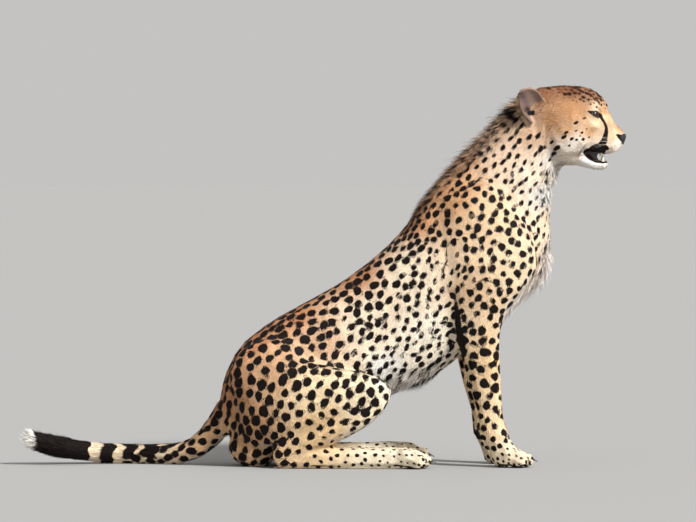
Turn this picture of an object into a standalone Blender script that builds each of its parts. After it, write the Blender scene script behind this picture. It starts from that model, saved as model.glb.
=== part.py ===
"""A life-size cheetah that sits upright and watches, with its mouth a little open.

The body is fused from lofts, tubes and balls, and thin cuts part it into named pieces.
Metres, +Z up. The animal looks along +X, so its right side is at -Y. The origin is the
centre of the base of its box, on the floor that the paws, rump and tail rest on.
"""

import math
from collections import namedtuple

import bmesh
import bpy
import numpy as np
from mathutils import Matrix, Vector

# Driving dimensions
GAP = 0.0006  # between two pieces that meet
SIDES = {"right": -1, "left": 1}
FINE = 0.003  # voxel that fuses the body
FLOOR = 0.0008  # where the paws, rump and tail are cut flat
BODY_TRIANGLES = 4000
NODE_SHARE = 0.56  # of the triangles of a node, kept after the cuts
FINE_SHARE = 1e-4  # how much finer the mesh stays where the group is weak

EYE = Vector((0.6035, 0.0270, 0.7890))
EYE_RADIUS = 0.0165
EYE_LOOK = Vector((0.77, 0.64, 0.05)).normalized()  # of the left eye
SOCKET = (0.0270, 0.0190)  # how far ahead of the eye its hollow is centred, and its radius
EAR_ROOT = Vector((0.484, 0.052, 0.788))
EAR_TIP = Vector((0.452, 0.071, 0.8445))
EAR_OPENING = Vector((0.42, 1.0, 0.10))  # the way the left ear faces
EAR_WIDTH = 0.060
EAR_THICKNESS = 0.0035

# A station of a loft: its highest and lowest point in the side view (x, z), its half width,
# the y of its middle, how full the section is (2 is an ellipse) and how far the widest
# level lies above the middle, as a share of the half height.
Ring = namedtuple("Ring", "upper lower half y full widest", defaults=(0.0, 2.2, 0.0))

TRUNK = [
    Ring((-0.232, 0.150), (-0.196, 0.040), 0.040),
    Ring((-0.220, 0.205), (-0.160, 0.012), 0.070),
    Ring((-0.184, 0.272), (-0.085, 0.020), 0.084),
    Ring((-0.117, 0.326), (0.040, 0.110), 0.084),
    Ring((-0.038, 0.371), (0.150, 0.166), 0.081, 0.0, 2.2, -0.1),
    Ring((0.052, 0.423), (0.228, 0.188), 0.084, 0.0, 2.2, -0.1),
    Ring((0.130, 0.484), (0.284, 0.222), 0.092, 0.0, 2.2, -0.1),
    Ring((0.180, 0.535), (0.336, 0.268), 0.095, 0.0, 2.2, -0.1),
    Ring((0.222, 0.594), (0.396, 0.322), 0.090),
    Ring((0.261, 0.643), (0.456, 0.378), 0.078),
    Ring((0.299, 0.683), (0.505, 0.426), 0.069),
    Ring((0.333, 0.715), (0.516, 0.497), 0.064),
    Ring((0.367, 0.747), (0.514, 0.565), 0.061),
    Ring((0.396, 0.781), (0.514, 0.616), 0.059),
    Ring((0.426, 0.812), (0.532, 0.662), 0.057),
    Ring((0.468, 0.836), (0.560, 0.690), 0.050),
]

SKULL = [
    Ring((0.452, 0.826), (0.482, 0.715), 0.046),
    Ring((0.481, 0.847), (0.510, 0.692), 0.058, 0.0, 2.4, -0.1),
    Ring((0.517, 0.854), (0.540, 0.680), 0.066, 0.0, 2.4, -0.2),
    Ring((0.556, 0.855), (0.570, 0.692), 0.0660, 0.0, 2.4, -0.2),
    Ring((0.588, 0.852), (0.592, 0.702), 0.0560, 0.0, 2.4, -0.1),
    Ring((0.612, 0.844), (0.608, 0.720), 0.0400, 0.0, 2.4),
    Ring((0.630, 0.831), (0.620, 0.745), 0.0285, 0.0, 2.4, 0.1),
    Ring((0.644, 0.811), (0.634, 0.768), 0.0190),
]
MUZZLE = [
    Ring((0.560, 0.790), (0.560, 0.706), 0.0500),
    Ring((0.598, 0.790), (0.598, 0.705), 0.0430, 0.0, 2.4, -0.3),
    Ring((0.630, 0.801), (0.624, 0.702), 0.0345, 0.0, 2.5, -0.45),
    Ring((0.6465, 0.797), (0.643, 0.7015), 0.0325, 0.0, 2.6, -0.45),
    Ring((0.652, 0.784), (0.655, 0.7035), 0.0315, 0.0, 2.6, -0.4),
    Ring((0.661, 0.770), (0.665, 0.708), 0.0265, 0.0, 2.6, -0.3),
    Ring((0.675, 0.758), (0.673, 0.717), 0.0195, 0.0, 2.4, -0.1),
    Ring((0.6835, 0.750), (0.680, 0.729), 0.0140),
]

JAW = [
    Ring((0.520, 0.735), (0.530, 0.676), 0.047),
    Ring((0.566, 0.722), (0.569, 0.675), 0.046),
    Ring((0.590, 0.703), (0.592, 0.670), 0.038),
    Ring((0.610, 0.6905), (0.614, 0.665), 0.031),
    Ring((0.632, 0.688), (0.633, 0.6655), 0.0235),
    Ring((0.6440, 0.686), (0.6425, 0.672), 0.013),
]

MOUTH = [
    Ring((0.574, 0.711), (0.575, 0.704), 0.012),
    Ring((0.590, 0.717), (0.590, 0.692), 0.021),
    Ring((0.612, 0.719), (0.612, 0.680), 0.0215),
    Ring((0.634, 0.717), (0.630, 0.677), 0.0175),
    Ring((0.651, 0.713), (0.638, 0.682), 0.0125),
]

FORELEG = [  # the shoulder blade, the upper arm, the forearm and the wrist
    Ring((0.330, 0.640), (0.262, 0.600), 0.018, 0.048),
    Ring((0.405, 0.600), (0.258, 0.530), 0.030, 0.062),
    Ring((0.462, 0.535), (0.272, 0.462), 0.037, 0.072),
    Ring((0.482, 0.462), (0.287, 0.408), 0.041, 0.078),
    Ring((0.455, 0.400), (0.287, 0.362), 0.041, 0.080),
    Ring((0.414, 0.346), (0.290, 0.322), 0.037, 0.079),
    Ring((0.400, 0.295), (0.303, 0.280), 0.0325, 0.074),
    Ring((0.400, 0.238), (0.314, 0.232), 0.0295, 0.068),
    Ring((0.403, 0.182), (0.328, 0.178), 0.0260, 0.063),
    Ring((0.407, 0.130), (0.345, 0.126), 0.0235, 0.060),
    Ring((0.414, 0.092), (0.352, 0.078), 0.0250, 0.059),
    Ring((0.425, 0.060), (0.368, 0.048), 0.0260, 0.059),
    Ring((0.440, 0.036), (0.378, 0.020), 0.0270, 0.059),
]
FORE_PAW = Vector((0.412, 0.059, 0.021))
FAR_LEG_BACK = 0.014  # the left paw stands this much behind the right one

THIGH = [
    Ring((-0.200, 0.230), (-0.190, 0.110), 0.030, 0.050),
    Ring((-0.165, 0.262), (-0.165, 0.060), 0.044, 0.064),
    Ring((-0.117, 0.266), (-0.115, 0.050), 0.048, 0.078),
    Ring((-0.049, 0.246), (-0.046, 0.060), 0.049, 0.092),
    Ring((0.018, 0.231), (0.016, 0.085), 0.046, 0.103),
    Ring((0.081, 0.221), (0.076, 0.116), 0.040, 0.111),
    Ring((0.130, 0.206), (0.124, 0.138), 0.031, 0.115),
    Ring((0.156, 0.186), (0.153, 0.150), 0.018, 0.116),
]
SHANK = [
    Ring((0.158, 0.180), (0.142, 0.130), 0.026, 0.114),
    Ring((0.092, 0.168), (0.102, 0.094), 0.036, 0.108),
    Ring((0.020, 0.142), (0.046, 0.062), 0.038, 0.101),
    Ring((-0.050, 0.106), (-0.022, 0.036), 0.031, 0.097),
    Ring((-0.098, 0.070), (-0.070, 0.008), 0.024, 0.095),
    Ring((-0.112, 0.036), (-0.098, 0.000), 0.018, 0.094),
]
INSTEP = [
    Ring((-0.104, 0.050), (-0.104, 0.000), 0.019, 0.094),
    Ring((-0.060, 0.054), (-0.060, -0.003), 0.023, 0.094),
    Ring((0.020, 0.049), (0.020, -0.003), 0.024, 0.095),
    Ring((0.100, 0.048), (0.100, -0.003), 0.026, 0.096),
    Ring((0.155, 0.050), (0.155, -0.003), 0.030, 0.097),
    Ring((0.185, 0.044), (0.185, -0.003), 0.031, 0.097),
]
HIND_PAW = Vector((0.180, 0.097, 0.022))

TAIL_PATH = [
    (-0.180, 0.000, 0.165),
    (-0.212, 0.000, 0.118),
    (-0.246, 0.004, 0.074),
    (-0.285, 0.014, 0.040),
    (-0.330, 0.030, 0.026),
    (-0.385, 0.048, 0.024),
    (-0.440, 0.056, 0.025),
    (-0.500, 0.050, 0.027),
    (-0.560, 0.034, 0.034),
    (-0.615, 0.016, 0.046),
    (-0.664, 0.002, 0.063),
]
TAIL_RADII = [0.042, 0.036, 0.031, 0.028, 0.0265, 0.025, 0.0245, 0.025, 0.0265, 0.0275, 0.020]

COLOURS = {
    "coat": (0.62, 0.40, 0.20),
    "nose": (0.02, 0.015, 0.015),
    "eye": (0.45, 0.22, 0.06),
    "mouth": (0.30, 0.10, 0.09),
    "teeth": (0.80, 0.74, 0.58),
}
ROUGHNESS = {"coat": 0.8, "nose": 0.45, "eye": 0.1, "mouth": 0.4, "teeth": 0.35}


def clear_scene():
    for obj in list(bpy.data.objects):
        bpy.data.objects.remove(obj)


def material(name):
    found = bpy.data.materials.get(name)
    if found:
        return found
    made = bpy.data.materials.new(name)
    made.use_nodes = True
    shader = made.node_tree.nodes["Principled BSDF"]
    shader.inputs["Base Color"].default_value = (*COLOURS[name], 1.0)
    shader.inputs["Roughness"].default_value = ROUGHNESS[name]
    shader.inputs["Metallic"].default_value = 0.0
    return made


def add_object(name, mesh, finish=None):
    obj = bpy.data.objects.new(name, mesh)
    bpy.context.scene.collection.objects.link(obj)
    if finish:
        mesh.materials.clear()
        mesh.materials.append(material(finish))
    return obj


def evaluated(obj):
    """The mesh of an object with its modifiers applied. The object is removed."""
    bpy.context.view_layer.update()
    graph = bpy.context.evaluated_depsgraph_get()
    mesh = bpy.data.meshes.new_from_object(obj.evaluated_get(graph))
    bpy.data.objects.remove(obj)
    return mesh


# Shells: each function adds one closed surface to a bmesh.


def catmull(rows, steps):
    """Rows of numbers with smooth in-between rows, which pass through every given row."""
    rows = np.array(rows, float)
    ends = np.vstack([2 * rows[0] - rows[1], rows, 2 * rows[-1] - rows[-2]])
    made = []
    for a, b, c, d in zip(ends, ends[1:], ends[2:], ends[3:]):
        for t in np.arange(steps) / steps:
            even = 2 * b + (c - a) * t
            made.append(0.5 * (even + (2 * a - 5 * b + 4 * c - d) * t**2
                               + (3 * b - a - 3 * c + d) * t**3))
    return np.array([*made, rows[-1]])


def skin_rings(bm, rings):
    """Joins rings of points into one closed surface, with a fan at each end."""
    loops = [[bm.verts.new(point) for point in ring] for ring in rings]
    for first, second in zip(loops, loops[1:]):
        for i, corner in enumerate(first):
            j = (i + 1) % len(first)
            bm.faces.new((corner, first[j], second[j], second[i]))
    for loop in (loops[0], loops[-1]):
        hub = bm.verts.new(sum((v.co for v in loop), Vector()) / len(loop))
        for i, corner in enumerate(loop):
            bm.faces.new((corner, loop[(i + 1) % len(loop)], hub))


def loft(bm, stations, side=1, shift=0.0, points=28, steps=4):
    """A body through stations. shift moves the last station along X, and the others less."""
    rows = [(*s.upper, *s.lower, s.half, s.y, s.full, s.widest) for s in stations]
    rows = catmull(rows, steps)
    turns = np.linspace(0, 2 * math.pi, points, endpoint=False)
    rings = []
    for step, (ux, uz, lx, lz, half, y, full, widest) in enumerate(rows):
        moved = shift * step / (len(rows) - 1)
        power = 2 / full
        along = np.sign(np.cos(turns)) * np.abs(np.cos(turns)) ** power
        across = np.sign(np.sin(turns)) * np.abs(np.sin(turns)) ** power
        along = along + widest * (1 - along**2)
        rings.append([
            Vector((
                (ux + lx) / 2 + (ux - lx) / 2 * a + moved,
                side * y + half * b,
                (uz + lz) / 2 + (uz - lz) / 2 * a,
            ))
            for a, b in zip(along, across)
        ])
    skin_rings(bm, rings)


def tube(bm, path, radii, points=20, steps=5):
    """A round tube along a smooth path in space."""
    rows = catmull([(*p, r) for p, r in zip(path, radii)], steps)
    centres = [Vector(row[:3]) for row in rows]
    rings = []
    for i, (centre, row) in enumerate(zip(centres, rows)):
        ahead = centres[min(i + 1, len(centres) - 1)] - centres[max(i - 1, 0)]
        side = ahead.cross(Vector((0, 0, 1))).normalized()
        up = side.cross(ahead).normalized()
        ring = []
        for turn in np.linspace(0, 2 * math.pi, points, endpoint=False):
            ring.append(centre + float(row[3]) * (math.cos(turn) * side + math.sin(turn) * up))
        rings.append(ring)
    skin_rings(bm, rings)


def ball(bm, centre, radii, tilt=0.0, turn=0.0, sides=24):
    """An ellipsoid. tilt lowers its front end in the side view, and turn swings it in plan."""
    place = (
        Matrix.Translation(centre)
        @ Matrix.Rotation(math.radians(turn), 4, "Z")
        @ Matrix.Rotation(math.radians(tilt), 4, "Y")
        @ Matrix.Diagonal((*radii, 1.0))
    )
    bmesh.ops.create_uvsphere(
        bm, u_segments=sides, v_segments=sides // 2 + 2, radius=1.0, matrix=place)


def mesh_of(bm, name):
    bmesh.ops.recalc_face_normals(bm, faces=bm.faces)
    mesh = bpy.data.meshes.new(name)
    bm.to_mesh(mesh)
    bm.free()
    return mesh


# The body


def add_paw(bm, palm, side, size=1.0):
    """Four toes side by side in front of a palm, on the floor."""
    palm = Vector((palm.x, side * palm.y, palm.z))
    ball(bm, palm, Vector((0.036, 0.033, 0.025)) * size, tilt=8)
    for across, ahead in ((-0.0275, 0.0), (-0.0092, 0.013), (0.0092, 0.013), (0.0275, 0.0)):
        toe = palm + Vector((0.027 + ahead, across, -0.002)) * size
        ball(bm, toe, Vector((0.0240, 0.0116, 0.0180)) * size, tilt=10, turn=across * 450)
        knuckle = palm + Vector((0.008 + ahead, across * 0.9, 0.008)) * size
        ball(bm, knuckle, Vector((0.0220, 0.0112, 0.0160)) * size, tilt=25)


def add_head(bm):
    loft(bm, SKULL)
    loft(bm, MUZZLE)
    loft(bm, JAW)
    for side in SIDES.values():
        ball(bm, (0.645, side * 0.0170, 0.7220), (0.0260, 0.0185, 0.0190), tilt=6)  # whisker pad
        ball(bm, (0.550, side * 0.0460, 0.7330), (0.0450, 0.0240, 0.0420))  # cheek
        # brow and cheekbone
        ball(bm, (0.606, side * 0.0290, 0.8120), (0.0270, 0.0140, 0.0110), 20, side * -38)
        ball(bm, (0.600, side * 0.0345, 0.7640), (0.0320, 0.0150, 0.0160), 15, side * -30)


def add_body_masses(bm):
    """Muscle that the lofts don't give: shoulder blade, upper arm, loin and haunch."""
    for side in SIDES.values():
        ball(bm, (0.335, side * 0.062, 0.560), (0.090, 0.034, 0.060), tilt=-50)
        ball(bm, (0.425, side * 0.070, 0.455), (0.060, 0.040, 0.056), tilt=-20)
        ball(bm, (0.345, side * 0.074, 0.405), (0.080, 0.038, 0.056), tilt=10)
        ball(bm, (-0.110, side * 0.066, 0.200), (0.100, 0.044, 0.092))
        ball(bm, (-0.150, side * 0.036, 0.050), (0.062, 0.042, 0.054))
        ball(bm, (0.351, side * 0.060, 0.076), (0.012, 0.014, 0.015))  # carpal pad


def fused_body():
    """The whole animal but its ears, as one closed surface that is finest at the head."""
    bm = bmesh.new()
    loft(bm, TRUNK)
    add_head(bm)
    add_body_masses(bm)
    tube(bm, TAIL_PATH, TAIL_RADII)
    for name, side in SIDES.items():
        back = -FAR_LEG_BACK if name == "left" else 0.0
        loft(bm, FORELEG, side, back)
        add_paw(bm, FORE_PAW + Vector((back, 0, 0)), side)
        loft(bm, THIGH, side)
        loft(bm, SHANK, side)
        loft(bm, INSTEP, side)
        add_paw(bm, HIND_PAW, side, 1.05)
    body = add_object("body", mesh_of(bm, "body"))
    fuse = body.modifiers.new("fuse", "REMESH")
    fuse.mode = "VOXEL"
    fuse.voxel_size = FINE
    body = add_object("body", evaluated(body))
    return softened(body)


def softened(body):
    """Rounds the creases between the shells, least at the head and paws, then thins the mesh."""
    loose = body.vertex_groups.new(name="loose")
    plain = body.vertex_groups.new(name="plain")
    for vertex in body.data.vertices:
        x, _, z = vertex.co
        head = min(max((x + 0.6 * (z - 0.80) - 0.46) / 0.06, 0), 1) if z > 0.60 else 0.0
        paw = min(max((0.10 - z) / 0.05, 0), 1) if x > -0.12 else 0.0
        loose.add([vertex.index], max(1 - head, 0.0) * (1 - 0.8 * paw), "REPLACE")
        plain.add([vertex.index], 1 - 0.85 * max(head, 0.5 * paw), "REPLACE")
    for name, group, repeats in (("crease", "loose", 60), ("facet", "", 9)):
        smooth = body.modifiers.new(name, "SMOOTH")
        smooth.vertex_group = group
        smooth.iterations = repeats
        smooth.factor = 0.5
    thin = body.modifiers.new("thin", "DECIMATE")
    thin.ratio = BODY_TRIANGLES / (2 * len(body.data.polygons))
    thin.vertex_group = "plain"
    thin.vertex_group_factor = FINE_SHARE
    return evaluated(body)


def grown(mesh, distance):
    """A copy of a closed mesh whose faces have all moved outwards."""
    bm = bmesh.new()
    bm.from_mesh(mesh)
    bm.normal_update()
    moves = [v.normal * distance * min(v.calc_shell_factor(), 1.5) for v in bm.verts]
    for vertex, move in zip(bm.verts, moves):
        vertex.co += move
    return mesh_of(bm, "grown")


def boolean(mesh, operation, tool):
    """The largest piece of what is left of a mesh after it meets a tool."""
    base = add_object("base", mesh)
    cutter = add_object("cutter", tool)
    cutter.hide_render = True
    cut = base.modifiers.new("cut", "BOOLEAN")
    cut.operation = operation
    cut.solver = "EXACT"
    cut.object = cutter
    made = evaluated(base)
    bpy.data.objects.remove(cutter)
    return largest_piece(made)


def largest_piece(mesh):
    bm = bmesh.new()
    bm.from_mesh(mesh)
    left = set(bm.verts)
    pieces = []
    while left:
        edge_of = [left.pop()]
        piece = set(edge_of)
        while edge_of:
            for edge in edge_of.pop().link_edges:
                for vertex in edge.verts:
                    if vertex in left:
                        left.remove(vertex)
                        piece.add(vertex)
                        edge_of.append(vertex)
        pieces.append(piece)
    keep = max(pieces, key=len)
    bmesh.ops.delete(bm, geom=[v for v in bm.verts if v not in keep], context="VERTS")
    bmesh.ops.dissolve_degenerate(bm, edges=bm.edges, dist=1e-5)
    bmesh.ops.triangulate(bm, faces=bm.faces)
    made = bpy.data.meshes.new(mesh.name)
    bm.to_mesh(made)
    bm.free()
    return made


def prism(outline, near, far):
    """An outline in the side view (x, z), closed between two values of y."""
    bm = bmesh.new()
    rings = [[Vector((x, y, z)) for x, z in outline] for y in sorted((near, far))]
    loops = [[bm.verts.new(point) for point in ring] for ring in rings]
    count = len(outline)
    for i in range(count):
        j = (i + 1) % count
        bm.faces.new((loops[0][i], loops[0][j], loops[1][j], loops[1][i]))
    for loop in loops:
        bm.faces.new(loop)
    return mesh_of(bm, "prism")


def solid(*shells):
    """A mesh of one shell or more, each given as a function and its arguments."""
    bm = bmesh.new()
    for shape, *arguments in shells:
        shape(bm, *arguments)
    return mesh_of(bm, "solid")


# The nodes. A region is an outline in the side view and the range of y on the right or
# left side. What lies in it becomes the node, in this order, and the rest goes on.

WIDE = 0.3
REGIONS = {
    "jaw": ([(0.586, 0.7075), (0.600, 0.6985), (0.625, 0.695), (0.700, 0.695),
             (0.700, 0.640), (0.545, 0.640)], -WIDE, WIDE),
    "head": ([(0.470, 0.900), (0.545, 0.640), (0.800, 0.640), (0.800, 0.900)], -WIDE, WIDE),
    "tail_tip": ([(-0.560, -0.1), (-0.560, 0.2), (-0.8, 0.2), (-0.8, -0.1)], -WIDE, WIDE),
    "tail_middle": ([(-0.400, -0.1), (-0.400, 0.2), (-0.7, 0.2), (-0.7, -0.1)], -WIDE, WIDE),
    "tail_base": ([(-0.192, 0.063), (-0.272, 0.125), (-0.300, 0.150), (-0.500, 0.150),
                   (-0.500, -0.050), (-0.222, -0.050)], -WIDE, WIDE),
}
PAIRED_REGIONS = {
    "forepaw": ([(0.320, 0.058), (0.520, 0.066), (0.520, -0.1), (0.320, -0.1)], 0.005, WIDE),
    "forearm": ([(0.270, 0.262), (0.360, 0.300), (0.460, 0.300), (0.500, 0.200),
                 (0.500, -0.1), (0.270, -0.1)], 0.005, WIDE),
    "upper_arm": ([(0.220, 0.240), (0.240, 0.570), (0.290, 0.640), (0.380, 0.620),
                   (0.470, 0.540), (0.500, 0.450), (0.470, 0.340), (0.400, 0.240)],
                  0.052, WIDE),
    "hind_foot": ([(-0.020, -0.1), (-0.030, 0.058), (0.300, 0.058), (0.300, -0.1)],
                  0.060, WIDE),
    "shank": ([(-0.130, -0.1), (-0.125, 0.048), (0.020, 0.096), (0.180, 0.150),
               (0.180, -0.1)], 0.062, WIDE),
    "thigh": ([(-0.215, 0.050), (-0.225, 0.190), (-0.160, 0.268), (-0.040, 0.272),
               (0.060, 0.250), (0.150, 0.225), (0.190, 0.190), (0.180, 0.120),
               (-0.100, -0.1)], 0.060, WIDE),
}
CROSSINGS = {  # planes across the trunk, as a point on each and its slope back from upright
    "neck": ((0.430, 0.620), 47),
    "chest": ((0.225, 0.380), 27),
    "belly": ((0.020, 0.220), 15),
}


def part_body(body):
    """The named nodes of flesh, each apart from the next by a thin cut."""
    nodes = {}
    body = boolean(body, "DIFFERENCE", ground(0.0))

    def take(name, region):
        nonlocal body
        nodes[name] = thinned(boolean(body, "INTERSECT", region), name)
        body = boolean(body, "DIFFERENCE", grown(region, GAP))

    for name, (outline, near, far) in REGIONS.items():
        take(name, prism(outline, near, far))
    for side_name, side in SIDES.items():
        for name, (outline, near, far) in PAIRED_REGIONS.items():
            take(f"{name}_{side_name}", prism(outline, side * near, side * far))
    for name, ((x, z), slope) in CROSSINGS.items():
        lean = Vector((-math.sin(math.radians(slope)), math.cos(math.radians(slope))))
        top, bottom = Vector((x, z)) + lean, Vector((x, z)) - lean
        ahead = Vector((lean.y, -lean.x)) * 2
        take(name, prism([top, bottom, bottom + ahead, top + ahead], -WIDE, WIDE))
    nodes["rump"] = thinned(body, "rump")
    for name, mesh in nodes.items():
        if min(v.co.z for v in mesh.vertices) < FLOOR:
            nodes[name] = boolean(mesh, "DIFFERENCE", ground(FLOOR))
    return nodes


def ground(level):
    return prism([(-1, level), (1, level), (1, level - 1), (-1, level - 1)], -1, 1)


def thinned(mesh, name):
    """A node with fewer of the small triangles that the cuts leave."""
    node = add_object(name, mesh)
    thin = node.modifiers.new("thin", "DECIMATE")
    thin.ratio = 0.9 if name in ("head", "jaw") else NODE_SHARE
    return evaluated(node)


# The parts of the head that aren't cut from the body


def ear(side):
    """A cupped leaf that opens to the side."""
    axis = EAR_TIP - EAR_ROOT
    across = EAR_OPENING.cross(axis).normalized()
    facing = axis.cross(across).normalized()
    bm = bmesh.new()
    rows = []
    for t in np.linspace(-0.1, 1.0, 10):
        t = float(t)
        half = EAR_WIDTH / 2 * math.sqrt(max(1 - (max(t - 0.3, 0) / 0.7) ** 2.4, 0.01))
        half *= 1 - 0.25 * max(0.3 - t, 0) / 0.4
        bend = math.radians(75 - 30 * t)
        row = []
        for s in np.linspace(-1, 1, 9):
            turn = float(s) * bend
            cup = half / math.sin(bend) * (math.cos(turn) - math.cos(bend))
            rolled = half * math.sin(turn) / math.sin(bend)
            point = EAR_ROOT + axis * t + across * rolled - facing * cup
            row.append(bm.verts.new((point.x, side * point.y, point.z)))
        rows.append(row)
    for low, high in zip(rows, rows[1:]):
        for i in range(len(low) - 1):
            bm.faces.new((low[i], low[i + 1], high[i + 1], high[i]))
    leaf = add_object("leaf", mesh_of(bm, "leaf"))
    wall = leaf.modifiers.new("wall", "SOLIDIFY")
    wall.thickness = EAR_THICKNESS
    wall.offset = 0.0
    return closed(evaluated(leaf))


def closed(mesh):
    """The same mesh with its faces turned outwards and cut into triangles."""
    bm = bmesh.new()
    bm.from_mesh(mesh)
    bmesh.ops.triangulate(bm, faces=bm.faces)
    return mesh_of(bm, mesh.name)


def fused(mesh, voxel, triangles):
    """Shells that overlap, made into one closed surface of about so many triangles."""
    rough = add_object("rough", mesh)
    fuse = rough.modifiers.new("fuse", "REMESH")
    fuse.mode = "VOXEL"
    fuse.voxel_size = voxel
    rough = add_object("rough", evaluated(rough))
    thin = rough.modifiers.new("thin", "DECIMATE")
    thin.ratio = min(triangles / (2 * len(rough.data.polygons)), 1.0)
    return largest_piece(evaluated(rough))


def tooth(bm, root, tip, radius, blunt=0.12):
    middle = Vector(root).lerp(tip, 0.5)
    tube(bm, [root, middle, tip], [radius, radius * 0.8, radius * blunt], 8, 2)


def arch(bm, gum, radius):
    """A bar along half an arch and its mirror image."""
    half = [Vector(point) for point in gum]
    path = half + [Vector((p.x, -p.y, p.z)) for p in reversed(half)]
    tube(bm, path, [radius] * len(path), 8, 2)


def teeth(gum, gum_radius, canine, incisor_root, incisor_drop):
    """A gum with canines and small front teeth, and the shells of the seat it needs."""
    bars = [(arch, gum, gum_radius)]
    seat = [(arch, gum, gum_radius + 2 * GAP)]
    for side in SIDES.values():
        root, tip = (Vector(end) * Vector((1, side, 1)) for end in canine)
        bars.append((tooth, root, tip, 0.0034))
        deeper = root.lerp(tip, -0.1)
        seat.append((tooth, deeper, tip, 0.0034 + 2 * GAP, 0.5))
    x, z = incisor_root
    for step in (-2.5, -1.5, -0.5, 0.5, 1.5, 2.5):
        top = Vector((x - 0.0004 * step**2, 0.0034 * step, z))
        bars.append((tooth, top, top + Vector((0, 0, incisor_drop)), 0.0016))
    return fused(solid(*bars), 0.0007, 260), [solid(shell) for shell in seat]


UPPER_GUM = [(0.590, 0.0200, 0.7150), (0.614, 0.0190, 0.7140), (0.630, 0.0165, 0.7130),
             (0.6400, 0.0110, 0.7120), (0.6430, 0.0040, 0.7115)]
LOWER_GUM = [(0.592, 0.0180, 0.6880), (0.610, 0.0165, 0.6840), (0.625, 0.0130, 0.6820),
             (0.6335, 0.0080, 0.6825), (0.6355, 0.0030, 0.6825)]
UPPER_CANINE = (0.6270, 0.0175, 0.7140), (0.6265, 0.0180, 0.6960)
LOWER_CANINE = (0.6290, 0.0125, 0.6800), (0.6320, 0.0138, 0.7000)


def mouth_parts():
    """The mesh and the seat of each thing inside the mouth."""
    tongue = fused(solid(
        (ball, (0.604, 0, 0.6880), (0.024, 0.0125, 0.0065), 10),
        (ball, (0.591, 0, 0.6950), (0.018, 0.0125, 0.0095), 15),
    ), 0.0010, 160)
    return {
        "teeth_upper": teeth(UPPER_GUM, 0.0034, UPPER_CANINE, (0.6440, 0.7110), -0.0060),
        "teeth_lower": teeth(LOWER_GUM, 0.0032, LOWER_CANINE, (0.6360, 0.6830), 0.0060),
        "tongue": (tongue, [grown(tongue, GAP)]),
    }


def eyeball(side, ahead=0.0, radius=EYE_RADIUS):
    """A ball at an eye, or ahead of it along the way that the eye looks."""
    centre = (EYE + ahead * EYE_LOOK) * Vector((1, side, 1))
    return closed(solid((ball, centre, [radius] * 3, 0, 0, 14)))


def head_parts(nodes):
    """Adds mouth, eyes, ears and nose to the nodes, and cuts their seats in the head."""
    for host in ("jaw", "head"):
        cavity = solid((loft, MOUTH, 1, 0.0, 14, 2))
        nodes[host] = boolean(nodes[host], "DIFFERENCE", cavity)
    nose_region = solid((ball, (0.6735, 0, 0.7370), (0.0180, 0.0205, 0.0125), 25, 0, 16))
    nodes["nose"] = thinned(boolean(nodes["head"], "INTERSECT", nose_region), "nose")
    nodes["head"] = boolean(nodes["head"], "DIFFERENCE", grown(nose_region, GAP))
    for side in SIDES.values():
        nodes["head"] = boolean(nodes["head"], "DIFFERENCE", eyeball(side, *SOCKET))
    inside = mouth_parts()
    for name, side in SIDES.items():
        ball_mesh = eyeball(side)
        inside[f"eye_{name}"] = (ball_mesh, [grown(ball_mesh, GAP)])
    for name, (_, seat) in inside.items():
        hosts = ["jaw", "head"] if name in ("teeth_lower", "tongue") else ["head"]
        for host in hosts:
            for shell in seat:
                nodes[host] = boolean(nodes[host], "DIFFERENCE", shell.copy())
    inside = {name: mesh for name, (mesh, _) in inside.items()}
    ears = {f"ear_{name}": ear(side) for name, side in SIDES.items()}
    for name, mesh in ears.items():
        for host in ("head", "neck"):
            mesh = boolean(mesh, "DIFFERENCE", grown(nodes[host], GAP))
        ears[name] = mesh
    return nodes | inside | ears


FINISHES = {"nose": "nose", "teeth": "teeth", "eye": "eye", "tongue": "mouth"}

clear_scene()
whole = head_parts(part_body(fused_body()))
corners = np.array([v.co for mesh in whole.values() for v in mesh.vertices])
low, high = corners.min(axis=0), corners.max(axis=0)
ORIGIN = Vector(((low[0] + high[0]) / 2, (low[1] + high[1]) / 2, low[2]))
for node_name, node_mesh in whole.items():
    node_mesh.transform(Matrix.Translation(-ORIGIN))
    add_object(node_name, node_mesh, FINISHES.get(node_name.split("_")[0], "coat"))
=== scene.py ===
"""The looks of a cheetah that sits and watches: one skin, a coat of mesh tufts over it, eyes,
lids, nose, mouth, claws and whiskers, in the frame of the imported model.

Places are written in the animal's own metres: +X is the way that it looks, +Y its left and
+Z up. SHIFT takes them to the frame.
"""

import math
from itertools import product

import bmesh
import bpy
import numpy as np
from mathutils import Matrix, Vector
from mathutils.bvhtree import BVHTree
from mathutils.kdtree import KDTree


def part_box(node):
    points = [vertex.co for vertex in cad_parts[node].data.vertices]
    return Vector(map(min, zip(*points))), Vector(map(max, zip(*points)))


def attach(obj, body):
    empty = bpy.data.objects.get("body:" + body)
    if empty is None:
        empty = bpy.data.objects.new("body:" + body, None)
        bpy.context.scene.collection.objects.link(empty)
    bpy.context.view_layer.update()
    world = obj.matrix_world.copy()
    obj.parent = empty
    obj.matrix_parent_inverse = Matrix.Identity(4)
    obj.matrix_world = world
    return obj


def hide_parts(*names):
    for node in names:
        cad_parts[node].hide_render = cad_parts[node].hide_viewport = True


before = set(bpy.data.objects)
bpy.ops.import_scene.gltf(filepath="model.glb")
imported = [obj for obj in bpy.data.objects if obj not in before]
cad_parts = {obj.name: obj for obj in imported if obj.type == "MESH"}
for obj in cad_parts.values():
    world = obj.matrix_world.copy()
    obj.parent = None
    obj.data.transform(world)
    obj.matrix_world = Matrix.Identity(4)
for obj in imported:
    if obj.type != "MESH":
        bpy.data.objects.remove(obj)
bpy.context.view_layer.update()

EYE = Vector((0.6035, 0.0270, 0.7890))
EYE_RADIUS = 0.0165
EYE_LOOK = Vector((0.77, 0.64, 0.05)).normalized()
low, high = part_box("eye_left")
SHIFT = (low + high) / 2 - EYE
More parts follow.
